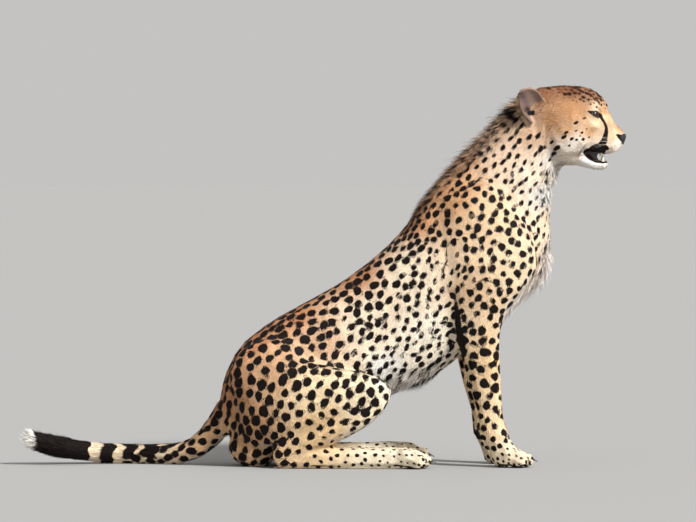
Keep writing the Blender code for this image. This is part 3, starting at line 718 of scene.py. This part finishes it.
# Lines, cheek, roots of the whiskers and bands of the tail
flank = (abs(normal[:, 1]) > 0.18) | (off_middle > 0.016)
parts = {
    "face": in_head * (px > 0.57) * flank > 0,
    "any": np.ones(len(co), bool),
    "arm": off_middle > 0.05,
    "ear": (off_middle > 0.03) & (ear_back < 0.3),
    "nape": (off_middle > 0.012) & (at("ear") == 0),
}
for where, colour, places in LINES:
    add_mark(np.where(parts[where], line_depth(co, places), -1.0), tone(*colour))
for x, z, long_half, short_half in CHEEK_SPOTS:
    dx, dz = px - x / 1000, pz - z / 1000
    along = dx * math.cos(CHEEK_SLOPE) + dz * math.sin(CHEEK_SLOPE)
    beside = dz * math.cos(CHEEK_SLOPE) - dx * math.sin(CHEEK_SLOPE)
    away = np.sqrt((along / (long_half / short_half)) ** 2 + beside**2)
    add_mark(np.where(off_middle > 0.018, short_half / 1000 - away, -1.0), tone(*INK))
for row, k in product(range(4), range(-1, 3)):
    away = np.hypot(px - (0.6480 + 0.0075 * k - 0.002 * (row % 2)), pz - (0.7190 + 0.0058 * row))
    add_mark(np.where(flank & (px > 0.6), 0.0009 - away, -1.0), tone(120, 84, 60))
tail = (px < -0.3) & (at("tail_base", "tail_middle", "tail_tip") > 0)
wobble = 0.004 * np.sin(py * 160 + pz * 120) + 0.002 * np.sin(py * 410)
for start, end, reach in BANDS:
    band = np.minimum(px + wobble - start, end - px - wobble)
    band = np.minimum(band, (normal[:, 2] - reach) * 0.02)
    add_mark(np.where(tail, band, -1.0), tone(*INK))
add_mark((ear_back - 0.45) * 0.01 - 0.02 * rim, tone(*INK))
add_mark((sole - 0.5) * 0.006, tone(36, 28, 26))
add_mark((carpal - 0.5) * 0.006, tone(30, 22, 20))

ground *= (1 + 0.07 * waves[:, :1] * (1 - in_head[:, None]))
fields = np.column_stack([ground, ink, mark, coat, lay, inside])

# 3. Materials


class Look:
    """A material, with short ways to add nodes to it."""

    def __init__(self, name, roughness, specular, coat=0.0, coat_roughness=0.03):
        self.material = bpy.data.materials.new(name)
        self.material.use_nodes = True
        self.nodes, self.links = self.material.node_tree.nodes, self.material.node_tree.links
        self.set("Roughness", roughness)
        self.set("Specular IOR Level", specular)
        self.set("Coat Weight", coat)
        self.set("Coat Roughness", coat_roughness)

    def set(self, name, value):
        """Gives an input of the surface a value, or what another node makes."""
        self.feed(self.nodes["Principled BSDF"].inputs[name], value)

    def feed(self, socket, value):
        if isinstance(value, (int, float)):
            socket.default_value = value
        elif isinstance(value, (tuple, np.ndarray)):
            socket.default_value = (*value, 1.0)
        else:
            self.links.new(value, socket)

    def attribute(self, name, kind="Fac"):
        found = self.nodes.new("ShaderNodeAttribute")
        found.attribute_name = name
        return found.outputs[kind]

    def arithmetic(self, operation, first, second):
        made = self.nodes.new("ShaderNodeMath")
        made.operation = operation
        for socket, value in zip(made.inputs, (first, second)):
            self.feed(socket, value)
        return made.outputs[0]

    def mixed(self, factor, first, second, blend="MIX"):
        made = self.nodes.new("ShaderNodeMix")
        made.data_type = "RGBA"
        made.blend_type = blend
        for index, value in ((0, factor), (6, first), (7, second)):
            self.feed(made.inputs[index], value)
        return made.outputs[2]

    def scaled(self, value, *limits):
        """limits are the lowest and highest value in, and then out."""
        made = self.nodes.new("ShaderNodeMapRange")
        for socket, number in zip(made.inputs[:5], (value, *limits)):
            self.feed(socket, number)
        return made.outputs[0]

    def texture(self, scale, detail=2.0, vector=None, kind="Noise"):
        made = self.nodes.new(f"ShaderNodeTex{kind}")
        made.inputs["Scale"].default_value = scale
        if "Detail" in made.inputs:
            made.inputs["Detail"].default_value = detail
        if vector is None:
            vector = self.nodes.new("ShaderNodeTexCoord").outputs["Object"]
        self.links.new(vector, made.inputs["Vector"])
        return made.outputs["Distance" if kind == "Voronoi" else 0]

    def bumped(self, height, distance):
        bump = self.nodes.new("ShaderNodeBump")
        bump.inputs["Distance"].default_value = distance
        self.links.new(height, bump.inputs["Height"])
        self.set("Normal", bump.outputs[0])


def coat_material(name, tufts):
    """Ground colour and markings from the mesh, with ragged edges and uneven hair."""
    look = Look(name, 0.66, 0.16)
    look.set("Sheen Weight", 0.03)
    look.set("Sheen Roughness", 0.45)
    ragged = look.arithmetic("SUBTRACT", look.texture(420.0), 0.5)
    edge = look.arithmetic("MULTIPLY", ragged, 0.0010)
    depth_in = look.arithmetic("ADD", look.attribute("mark"), edge)
    dark = look.scaled(depth_in, -0.0005, 0.0005, 0.0, 1.0)
    colour = look.mixed(dark, look.attribute("ground", "Color"), look.attribute("ink", "Color"))
    patchy = look.scaled(look.texture(26.0, 3.0), 0.3, 0.7, 0.90, 1.06)
    if tufts:
        grain = look.texture(1.0, 2.0, look.attribute("strand", "Vector"))
    else:
        grain = look.texture(900.0, 3.0)
    lines = look.scaled(grain, 0.3, 0.7, *((0.84, 1.16) if tufts else (0.62, 0.92)))
    look.bumped(grain, 0.0004 if tufts else 0.0005)
    patchy = look.arithmetic("MULTIPLY", patchy, lines)
    if tufts:
        # shade is each tuft's own uneven tone, with painted shade at its roots
        patchy = look.arithmetic("MULTIPLY", patchy, look.attribute("shade"))
    grey_scale = look.nodes.new("ShaderNodeCombineColor")
    for socket in grey_scale.inputs[:3]:
        look.feed(socket, patchy)
    look.set("Base Color", look.mixed(1.0, colour, grey_scale.outputs[0], "MULTIPLY"))
    return look.material


def plain_material(name, colour, roughness, grain, height, contrast, coat=0.0, kind="Noise"):
    """One colour in two shades that a pattern of this grain mixes and raises."""
    look = Look(name, roughness, 0.5, coat, 0.12)
    pattern = look.texture(grain, 3.0, kind=kind)
    shade = look.scaled(pattern, 0.2, 0.8, 0.0, 1.0)
    first, second = tone(*colour) * (1 - contrast), tone(*colour) * (1 + contrast)
    look.set("Base Color", look.mixed(shade, first, second.clip(0, 1)))
    look.bumped(pattern, height)
    return look.material


hide = coat_material("hide", False)
fur = coat_material("fur", True)
leather = plain_material("nose leather", (17, 11, 11), 0.46, 1500.0, 0.0004, 0.35, 0.12, "Voronoi")
lip = plain_material("lip", (34, 22, 22), 0.34, 900.0, 0.0002, 0.3, 0.3)
# Flesh of the mouth and gums, nearly black instead of its own pink: painted shade of the mouth's
# inside
mouth_flesh_in_shade = plain_material("mouth flesh", (38, 21, 23), 0.34, 500.0, 0.0003, 0.3, 0.4)
# The tongue, darker than its own pink: painted shade inside the mouth
tongue_in_shade = plain_material("tongue", (96, 50, 52), 0.36, 1600.0, 0.0004, 0.2, 0.3, "Voronoi")
horn = plain_material("claw horn", (62, 50, 42), 0.32, 300.0, 0.0001, 0.4, 0.3)
whisker_hair = plain_material("whisker", (236, 228, 214), 0.4, 300.0, 0.0, 0.05)
enamel = plain_material("tooth", (232, 220, 190), 0.22, 260.0, 0.0001, 0.08, 0.5)

# 4. The skin as an object, thinned where it is plain


def thinned_skin():
    """The skin with fewer triangles, and the row of fields for each of its points. The points
    tremble while it is thinned, so that flat parts keep some."""
    tremble = RNG.uniform(-1, 1, len(co)) * (0.0007 - 0.0004 * in_head)
    set_points(skin_mesh, co + SHIFTED + normal * tremble[:, None])
    obj = new_object("skin", skin_mesh)
    group = obj.vertex_groups.new(name="plain")
    fine = np.clip(in_head + at("forepaw", "hind_foot") * 0.5, 0, 1)
    bands = np.round((1 - fine) * 4) / 4
    for level in np.unique(bands):
        group.add(np.flatnonzero(bands == level).tolist(), float(max(level, 0.1)), "REPLACE")
    thin = obj.modifiers.new("thin", "DECIMATE")
    thin.ratio = min(SKIN_TRIANGLES / (2 * len(skin_mesh.polygons)), 1.0)
    thin.vertex_group = "plain"
    thin.vertex_group_factor = 0.3
    obj = new_object("skin", applied(obj), hide, mouth_flesh_in_shade)
    obj.vertex_groups.clear()
    points = numbers(obj.data.vertices, "co")
    match = found_in(full_tree, points)[0]
    points -= (normal * tremble[:, None])[match]
    points = evened(points, edges_of(obj.data), 4)
    points[:, 2] = np.maximum(points[:, 2], 0.0)
    set_points(obj.data, points)
    return obj, match


def mesh_triangles(mesh):
    mesh.calc_loop_triangles()
    return [stored(mesh.loop_triangles, name, 3, np.int32) for name in ("vertices", "loops")]


full_triangles = mesh_triangles(skin_mesh)[0]
full_tree = tree_of(co + SHIFTED)
skin, match = thinned_skin()
mesh = skin.data
smooth(mesh)
data = fields[match]
store_colours(mesh, data, data[:, MARK])
second_material(mesh, data[:, INSIDE] > 0.6)

bpy.context.view_layer.objects.active = skin
skin.select_set(True)
mesh.uv_layers.active = mesh.uv_layers.new(name="OFBake")
bpy.ops.object.mode_set(mode="EDIT")
bpy.ops.mesh.select_all(action="SELECT")
bpy.ops.uv.smart_project(angle_limit=math.radians(70), island_margin=0.001)
bpy.ops.object.mode_set(mode="OBJECT")
mesh = skin.data
points = numbers(mesh.vertices, "co")
triangles, loops = mesh_triangles(mesh)
skin_uv = numbers(mesh.uv_layers["OFBake"].uv, "vector", 2)[loops]
skin_tree = BVHTree.FromPolygons(points.tolist(), triangles.tolist())


def places_on_map(places):
    """Where points lie on the skin's own unwrap."""
    face = np.array([skin_tree.find_nearest(place)[2] for place in places.tolist()])
    a, b, c = (points[triangles[face, k]] for k in range(3))
    across, along, out = b - a, c - a, places - a
    d00, d01, d11 = row_dot(across, across), row_dot(across, along), row_dot(along, along)
    d20, d21 = row_dot(out, across), row_dot(out, along)
    scale = np.maximum(d00 * d11 - d01 * d01, 1e-20)
    v = ((d11 * d20 - d01 * d21) / scale).clip(0, 1)
    w = ((d00 * d21 - d01 * d20) / scale).clip(0, 1)
    share = np.stack([1 - v - w, v, w], axis=1).clip(0, 1)
    share /= share.sum(axis=1)[:, None]
    return np.einsum("ij,ijk->ik", share, skin_uv[face])


# 5. The coat


def roots(density, total):
    """Places for tufts, evenly strewn over the skin, with all that is known there."""
    points = co + SHIFTED
    a, b, c = points[full_triangles].transpose(1, 0, 2)
    area = np.linalg.norm(np.cross(b - a, c - a), axis=1) / 2
    running = np.cumsum(area * density[full_triangles].mean(axis=1))
    picks = (np.arange(total) + RNG.random(total)) / total * running[-1]
    face = np.searchsorted(running, picks).clip(0, len(full_triangles) - 1)
    first, second = np.sqrt(RNG.random(total)), RNG.random(total)
    share = np.stack([1 - first, first * (1 - second), first * second], axis=1)
    corners = full_triangles[face]

    def blend(values):
        return np.einsum("ij,ijk->ik", share, values[corners])

    found = blend(fields)
    inky = corners[np.arange(total), fields[corners, MARK].argmax(axis=1)]
    found[:, INK_RGB] = fields[inky, INK_RGB]
    place = blend(points)
    return place, unit(blend(normal)), places_on_map(place), found


def tuft_mesh(name, root, normal, uv, data, bends):
    """Flat tufts of hair that rise from their roots and lie back over the coat."""
    count = len(root)
    length = data[:, LENGTH] / 1000 * RNG.uniform(0.75, 1.20, count)
    rise = data[:, RISE] * RNG.uniform(0.55, 1.45, count)
    width = data[:, WIDTH] / 1000 * RNG.uniform(0.75, 1.25, count)
    way = unit(data[:, LAY_XYZ])
    if bends > 2:
        clump = sum(np.sin(root @ np.array(axis)) for axis in CLUMPS) / len(CLUMPS)
        rise = rise * (1 + 0.5 * clump)
        length = length * (1 + 0.30 * clump)
    cross = np.cross(normal, way)
    loose = data[:, RISE, None] > LOOSE_RISE
    turn = RNG.normal(0, 0.16, count)[:, None] + 0.2 * loose * RNG.normal(0, 1, (count, 1))
    way = unit(way * np.cos(turn) + cross * np.sin(turn))
    cross = unit(np.cross(normal, way))
    roll = RNG.normal(0, 0.32, count)[:, None]
    flat = cross * np.cos(roll) + normal * np.sin(roll)
    rows, shades, strands, normals, uvs, marks = [], [], [], [], [], []
    uneven = 0.10 + 0.30 * (data[:, RISE] - 0.36).clip(0, 0.9)
    tangle = sum(np.sin(root @ np.array(axis) + 2.0 * np.sin(root @ np.array(other)))
                 for axis, other in zip(TANGLES, TANGLES[1:])) / (len(TANGLES) - 1)
    shade = (1 + RNG.normal(0, 1, count) * uneven + 0.20 * tangle).clip(0.35, 1.55)
    offset = RNG.uniform(0, 60, (count, 2))
    for step in np.linspace(0, 1, bends + 1):
        along = length * step
        rising = length * (rise * step - 0.55 * rise * step**2) - 0.0006 * (1 - step)
        centre = root + way * along[:, None] + normal * rising[:, None]
        mark_here = data[:, MARK]
        if bends == 2 and step > 0:
            below = found_in(full_tree, root + way * along[:, None])[0]
            mark_here = mark_here + 0.75 * (fields[below, MARK] - mark_here)
        half = width * 0.5 * (0.75 + 0.6 * step if step < 0.5 else 1.25 * (1 - step) ** 0.8)
        for across in [0.0] if step == 1 else [-1.0, 1.0]:
            rows.append(centre + flat * (half * across)[:, None])
            marks.append(mark_here)
            # Roots darker than tips: painted shade deep in the coat
            shades.append(shade * (0.72 + 0.40 * min(step * 1.6, 1)))
            strands.append(np.stack([
                offset[:, 0] + across * width * 900, offset[:, 1] + along * 90,
                np.zeros(count)], axis=1))
            normals.append(unit(normal + 0.22 * across * flat - 0.10 * way
                                + 0.25 * roll * cross))
            uvs.append(uv + PATCH / 2 * np.array([across, 2 * step - 1]))
    width_in = len(rows)
    points = np.stack(rows, axis=1).reshape(-1, 3)
    points[:, 2] = np.maximum(points[:, 2], 0.0003)
    last = 2 * (bends - 1)
    corners = [corner for k in range(0, last, 2) for corner in (k + 1, k, k + 2, k + 3)]
    corners += [last + 1, last, last + 2]
    loops = ((np.arange(count) * width_in)[:, None] + np.array(corners)).ravel()
    sizes = np.tile([4] * (bends - 1) + [3], count)
    made = bpy.data.meshes.new(name)
    made.vertices.add(len(points))
    made.loops.add(len(loops))
    made.polygons.add(len(sizes))
    fill(made.vertices, "co", points)
    fill(made.loops, "vertex_index", loops, np.int32)
    fill(made.polygons, "loop_start", np.cumsum(sizes) - sizes, np.int32)
    smooth(made)
    made.update(calc_edges=True)
    layer = made.uv_layers.new(name="OFBake")
    fill(layer.uv, "vector", np.stack(uvs, axis=1).reshape(-1, 2)[loops])
    store_colours(made, np.repeat(data[:, :MARK], width_in, axis=0), np.stack(marks, axis=1))
    store(made, "shade", np.stack(shades, axis=1))
    store(made, "strand", np.stack(strands, axis=1), "FLOAT_VECTOR")
    made.normals_split_custom_set_from_vertices(
        np.stack(normals, axis=1).reshape(-1, 3).astype(np.float32))
    return made


BALD_REACH, BALD_ANGLE = 0.021, math.radians(52)  # round the eye
bald = (inside > 0.3) | (pz < FLOOR_Z + 0.0012)
for mirrored in (-1, 1):
    away = co - np.array(flipped(EYE, mirrored))
    close = np.linalg.norm(away, axis=1)
    angle = np.arccos(np.clip(away @ np.array(flipped(EYE_LOOK, mirrored)) / close, -1, 1))
    bald |= (close < BALD_REACH) & (angle < BALD_ANGLE)
all_roots = roots(fields[:, DENSITY] * (1 - bald), TUFTS)
shuffle = RNG.permutation(TUFTS)
long_hair = all_roots[3][shuffle, LENGTH] > LONG_HAIR
pieces = []
for indices, bends, limit in ((shuffle[~long_hair], 2, TUFTS_IN_PIECE),
                              (shuffle[long_hair], 4, TUFTS_IN_PIECE // 3)):
    for start in range(0, len(indices), limit):
        part = indices[start:start + limit]
        name = f"coat_{len(pieces) + 1}"
        coat_mesh = tuft_mesh(name, *(values[part] for values in all_roots), bends)
        pieces.append(new_object(name, coat_mesh, fur))


# 6. Eyes, lids, nose, mouth, claws and whiskers


def finished(bm, name):
    """A smooth mesh from a bmesh. The bmesh goes."""
    made = bpy.data.meshes.new(name)
    bm.to_mesh(made)
    bm.free()
    smooth(made)
    return made


def grid_mesh(name, rows, closed=True, caps=False):
    """A mesh through rows of points, each row a ring if closed."""
    bm = bmesh.new()
    loops = [[bm.verts.new(point) for point in row] for row in rows]
    for first, second in zip(loops, loops[1:]):
        count = len(first)
        for i in range(count if closed else count - 1):
            j = (i + 1) % count
            bm.faces.new((first[i], first[j], second[j], second[i]))
    if caps:
        for loop in (loops[0], loops[-1]):
            bm.faces.new(loop)
    bmesh.ops.recalc_face_normals(bm, faces=bm.faces)
    return finished(bm, name)


def toward(mirrored, angle, around):
    """A direction at an angle from the eye's look. around is 0 at the outer corner, and
    grows over the top."""
    look = flipped(EYE_LOOK, mirrored)
    out = Vector((0, 0, 1)).cross(look).normalized() * mirrored
    up = look.cross(out).normalized() * mirrored
    return (look * math.cos(angle)
            + (out * math.cos(around) + up * math.sin(around)) * math.sin(angle))


# The iris is a deep amber-brown, darker than its own amber: painted shade from the brow and lids.
IRIS = ((0.000, (3, 2, 2)), (0.215, (4, 3, 3)), (0.240, (40, 21, 9)), (0.34, (82, 45, 18)),
        (0.46, (58, 32, 14)), (0.54, (24, 14, 9)), (0.60, (12, 8, 7)), (0.90, (46, 34, 30)),
        (1.0, (60, 48, 44)))


def eye_material():
    """Pupil, iris and white by their angle from the look, under a clear wet layer."""
    look = Look("eye", 0.3, 0.0, 1.0, 0.02)
    spokes = look.texture(1.0, 3.0, look.attribute("spoke", "Vector"))
    uneven = look.arithmetic("MULTIPLY", look.arithmetic("SUBTRACT", spokes, 0.5), 0.10)
    band = look.nodes.new("ShaderNodeValToRGB")
    look.feed(band.inputs[0], look.arithmetic("ADD", look.attribute("polar"), uneven))
    stops = band.color_ramp.elements
    for stop, (place, colour) in zip(stops, (IRIS[0], IRIS[-1])):
        stop.position, stop.color = place, (*tone(*colour), 1)
    for place, colour in IRIS[1:-1]:
        stops.new(place).color = (*tone(*colour), 1)
    look.set("Base Color", band.outputs[0])
    return look.material


def eyeball(name, mirrored, material):
    """A ball with a swollen cornea, which knows its angle from the look at every point."""
    centre = flipped(EYE, mirrored) + SHIFT
    rows, polar, spoke = [], [], []
    for row in range(1, 61):
        angle = math.pi * (row / 60) ** 1.25 * 0.995 + 0.004
        radius = EYE_RADIUS - 0.0002 + 0.0012 * math.exp(-(angle / 0.52) ** 4)
        turns = [2 * math.pi * k / 64 for k in range(64)]
        rows.append([centre + toward(mirrored, angle, around) * radius for around in turns])
        polar += [angle] * len(turns)
        spoke += [(7 * math.cos(around), 7 * math.sin(around), angle * 2) for around in turns]
    made = grid_mesh(name, rows, caps=True)
    store(made, "polar", polar)
    store(made, "spoke", spoke, "FLOAT_VECTOR")
    return new_object(name, made, material)


# Opening of the lids up, down and to both corners, as angles from the look
UPPER_LID, LOWER_LID, LID_OUT, LID_IN = 0.40, 0.35, 0.78, 0.88
LIDS_END = 1.18  # angle at which the lids lie under the coat
LID_SIDES, LID_STEPS = 72, 8
EYE_TILT = math.radians(13)


def lid_edge(around):
    """How far the lids leave the eye open in a direction, as an angle from its look."""
    turned = around - EYE_TILT
    across, up = math.cos(turned), math.sin(turned)
    width = LID_OUT if across > 0 else LID_IN
    height = UPPER_LID if up > 0 else LOWER_LID
    return (abs(across / width) ** 1.6 + abs(up / height) ** 1.6) ** (-1 / 1.6)


def lids(name, mirrored):
    """A ring of skin round the eye, from its thick dark edge out under the coat."""
    centre = flipped(EYE, mirrored) + SHIFT
    profile = [(-0.03, -0.0002), (-0.02, 0.0004), (0.0, 0.0009), (0.04, 0.0013), (0.09, 0.0015)]
    rows = [[] for _ in range(len(profile) + LID_STEPS)]
    for around in (2 * math.pi * k / LID_SIDES for k in range(LID_SIDES)):
        edge = lid_edge(around)
        for row, (more, height) in enumerate(profile):
            rows[row].append(centre + toward(mirrored, edge + more, around)
                             * (EYE_RADIUS + height))
        first = edge + profile[-1][0]
        outer = max(LIDS_END, edge + 0.3)
        for step in range(1, LID_STEPS + 1):
            share = step / LID_STEPS
            angle = first + (outer - first) * share
            way = toward(mirrored, angle, around)
            hit = skin_tree.ray_cast(centre + way * 0.060, -way, 0.060)[0]
            surface = (hit - centre).length if hit else EYE_RADIUS + 0.003
            surface = min(surface, EYE_RADIUS + 0.016)
            blend = share * share * (3 - 2 * share)
            radius = (EYE_RADIUS + 0.0015) * (1 - blend) + (surface - 0.0005) * blend
            rows[len(profile) + step - 1].append(centre + way * radius)
    grids = np.array([[tuple(p) for p in row] for row in rows])
    for _ in range(6):
        inner = grids[len(profile):-1]
        inner = (np.roll(inner, 1, axis=1) + np.roll(inner, -1, axis=1)) / 4 + inner / 2
        inner = inner * 0.5 + (grids[len(profile) - 1:-2] + grids[len(profile) + 1:]) / 4
        grids[len(profile):-1] = inner
    return grids, grid_mesh(name, grids.tolist())


eye_look = eye_material()
skin_points = tree_of(points)
for name, mirrored in (("left", 1), ("right", -1)):
    ball = eyeball(f"eyeball_{name}", mirrored, eye_look)
    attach(ball, "root")
    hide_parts(f"eye_{name}")
    grids, lid_mesh = lids(f"lids_{name}", mirrored)
    lid_data = data[found_in(skin_points, grids.reshape(-1, 3))[0]]
    ring = np.repeat(np.arange(len(grids)), LID_SIDES)
    around = np.tile(np.arange(LID_SIDES), len(grids)) * 2 * math.pi / LID_SIDES
    rim_depth = (7.2 - 3.2 * abs(np.sin(around - EYE_TILT)) - ring) * 0.0012
    lid_data[rim_depth > -0.001, INK_RGB] = tone(24, 16, 14)
    store_colours(lid_mesh, lid_data, np.maximum(lid_data[:, MARK], rim_depth))
    piece = new_object(f"lids_{name}", lid_mesh, hide, lip)
    wet = np.arange(len(lid_mesh.polygons)) < 4 * LID_SIDES
    fill(lid_mesh.polygons, "material_index", wet, np.int32)
    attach(piece, "root")


def nose_piece():
    """The leather of the nose, with a nostril on each side and a groove in the middle."""
    made = remeshed(joined(["nose"], 0.0009), 0.0008)
    place = evened(numbers(made.vertices, "co"), edges_of(made), 24)
    low, high = place.min(axis=0), place.max(axis=0)
    set_points(made, place)
    facing = normals_of(made)
    x, z = high[0], (low[2] + high[2]) / 2
    for mirrored in (-1, 1):
        path = [(x - 0.0015, 0.0052, z - 0.0018), (x - 0.0030, 0.0088, z + 0.0006),
                (x - 0.0075, 0.0128, z + 0.0012), (x - 0.0125, 0.0158, z - 0.0008)]
        path = np.array(path) * (1, mirrored, 1)
        best = np.minimum.reduce([from_run(place, *run)[0] for run in zip(path, path[1:])])
        place = place - facing * (0.0042 * np.exp(-(best / 0.0019) ** 2))[:, None]
        place = place + facing * (0.0007 * np.exp(-((best - 0.0036) / 0.0016) ** 2))[:, None]
    groove = np.exp(-(place[:, 1] / 0.0010) ** 2) * ramp(z + 0.002 - place[:, 2], 0, 0.004)
    place = place - facing * (0.0012 * groove)[:, None]
    set_points(made, evened(place, edges_of(made), 2))
    smooth(made)
    return new_object("nose_leather", made, leather)


def soft_copy(name, voxel, *materials):
    """A CAD node with its edges rounded off."""
    made = remeshed(joined([name], 0.0002), voxel)
    set_points(made, evened(numbers(made.vertices, "co"), edges_of(made), 10))
    smooth(made)
    return new_object(f"{name}_soft", made, *materials)


nose = nose_piece()
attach(nose, "root")
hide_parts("nose")
tongue = soft_copy("tongue", 0.0008, tongue_in_shade)
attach(tongue, "root")
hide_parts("tongue")
for name, gum_side, gum_level in (("teeth_upper", 1, 0.7115), ("teeth_lower", -1, 0.6835)):
    piece = soft_copy(name, 0.0005, enamel, mouth_flesh_in_shade)
    height = (numbers(piece.data.vertices, "co") - SHIFTED)[:, 2]
    second_material(piece.data, (height - gum_level) * gum_side > 0)
    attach(piece, "root")
    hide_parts(name)


def side_hit(mirrored, x, z):
    """Where the skin is on one side of the head at a place in the side view."""
    return skin_tree.ray_cast(placed(x, mirrored * 0.060, z), Vector((0, -mirrored, 0)), 0.06)[0]


def half_width(*place):
    """How far from the middle of the head that is."""
    hit = side_hit(*place)
    return abs(hit.y) if hit else 0.016


def cheek_lining(mirrored):
    """The inside of a cheek, from the corner of the mouth to behind the canines; its dark flesh is
    painted shade.
    """
    rows = []
    for share in (step / 12 for step in range(13)):
        row = []
        low_z = 0.7030 - 0.0175 * ramp(np.array(share), 0.0, 0.90) - 0.0015
        high_z = 0.7095 - 0.0015 * share
        for up in (level / 8 for level in range(9)):
            bow = 4 * up * (1 - up)
            x = 0.5880 + (0.0395 - 0.0100 * bow) * share
            upper = half_width(mirrored, x, high_z + 0.0015)
            lower = min(half_width(mirrored, x, low_z - 0.0010), upper)
            y = mirrored * (upper * up + lower * (1 - up) - 0.0035 - 0.0030 * bow)
            row.append(placed(x, y, low_z + (high_z - low_z) * up))
        rows.append(row)
    return grid_mesh("lining", rows, closed=False)


def bent_cone(points, radii, sides=10):
    """Rows for a tapering tube through points."""
    rows = []
    for i, (point, radius) in enumerate(zip(points, radii)):
        ahead = points[min(i + 1, len(points) - 1)] - points[max(i - 1, 0)]
        beside = ahead.cross(Vector((0.13, 0.99, 0.05))).normalized()
        other = beside.cross(ahead).normalized()
        rows.append([point + radius * (math.cos(turn) * beside + math.sin(turn) * other)
                     for turn in np.linspace(0, 2 * math.pi, sides, endpoint=False)])
    return rows


def merged(name, meshes, material):
    bm = bmesh.new()
    for mesh in meshes:
        bm.from_mesh(mesh)
    return new_object(name, finished(bm, name), material)


def claws():
    made = []
    radii = [0.0020, 0.0021, 0.0017, 0.0010, 0.0002]
    for (foot, size), name in product((("forepaw", 1.0), ("hind_foot", 1.05)), ("left", "right")):
        low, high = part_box(f"{foot}_{name}")
        middle = (low.y + high.y) / 2
        for across, back in ((-0.0275, 0.013), (-0.0092, 0.0), (0.0092, 0.0), (0.0275, 0.013)):
            start = Vector((high.x - (back + 0.004) * size, middle + across * size * 1.02, 0.0165))
            path = [start + Vector((0.0045 * t, 0, 0.0015 * t - 0.0011 * t * t)) * size
                    for t in (-1.0, 0.0, 1.0, 2.0, 2.8)]
            made.append(grid_mesh("claw", bent_cone(path, radii), caps=True))
    return merged("claws", made, horn)


def whiskers():
    made = []
    radii = [0.00016, 0.00015, 0.00013, 0.00010, 0.00007, 0.00003]
    for mirrored, row, k in product((-1, 1), range(1, 4), range(3)):
        hit = side_hit(mirrored, 0.640 + 0.0080 * k - 0.002 * (row % 2), 0.7180 + 0.0055 * row)
        if hit:
            length = 0.050 + 0.010 * ((row * 5 + k * 3) % 4)
            way = Vector((-0.25 - 0.15 * (3 - k), mirrored * 0.9, -0.10 + 0.10 * row))
            way.normalize()
            path = [hit + way * length * t + Vector((-0.5, 0, -0.25)) * length * t * t * 0.5
                    for t in (-0.02, 0.2, 0.4, 0.6, 0.8, 1.0)]
            made.append(grid_mesh("whisker", bent_cone(path, radii, 5), caps=True))
    return merged("whiskers", made, whisker_hair)


lining = merged("cheek_lining", [cheek_lining(1), cheek_lining(-1)], mouth_flesh_in_shade)
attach(lining, "root")
nails = claws()
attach(nails, "root")
hairs = whiskers()
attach(hairs, "root")

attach(skin, "root")
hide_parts(*flesh)
for piece in pieces:
    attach(piece, "root")

# 7. Floor, light and camera

PALE = (0.55, 0.545, 0.535)


def stage():
    bpy.ops.mesh.primitive_circle_add(vertices=96, radius=400, fill_type="NGON")
    floor = bpy.context.object
    floor.name = "floor"
    look = Look("pale floor", 0.9, 0.1)
    look.set("Base Color", (0.369, 0.366, 0.359))
    floor.data.materials.append(look.material)
    world = bpy.data.worlds.new("pale")
    bpy.context.scene.world = world
    world.use_nodes = True
    world.node_tree.nodes["Background"].inputs[0].default_value = (*PALE, 1)


def aimed(obj, place, target):
    obj.location = place
    obj.rotation_euler = (target - place).to_track_quat("-Z", "Y").to_euler()


def light(name, kind, place, target, energy, size):
    data = bpy.data.lights.new(name, kind)
    data.energy = energy
    if kind == "SUN":
        data.angle = size
    else:
        data.size = size
    aimed(new_object(name, data), Vector(place), Vector(target))


def camera():
    data = bpy.data.cameras.new("camera")
    data.sensor_width = 36.0
    data.lens = 200.0
    data.clip_end = 1000
    target = placed(0.0585, 0.0, 0.4610)
    rise = math.radians(1.2)
    eye = new_object("camera", data)
    aimed(eye, target + Vector((0, -math.cos(rise), math.sin(rise))) * 8.70, target)
    bpy.context.scene.camera = eye


stage()
light("sun", "SUN", (3.0, -2.6, 3.4), (0, 0, 0.3), 4.8, math.radians(10))
light("catch", "AREA", (3.0, -3.6, 2.4), (0.5, 0, 0.7), 9.0, 0.45)
camera()
bpy.context.scene.view_settings.view_transform = "Standard"
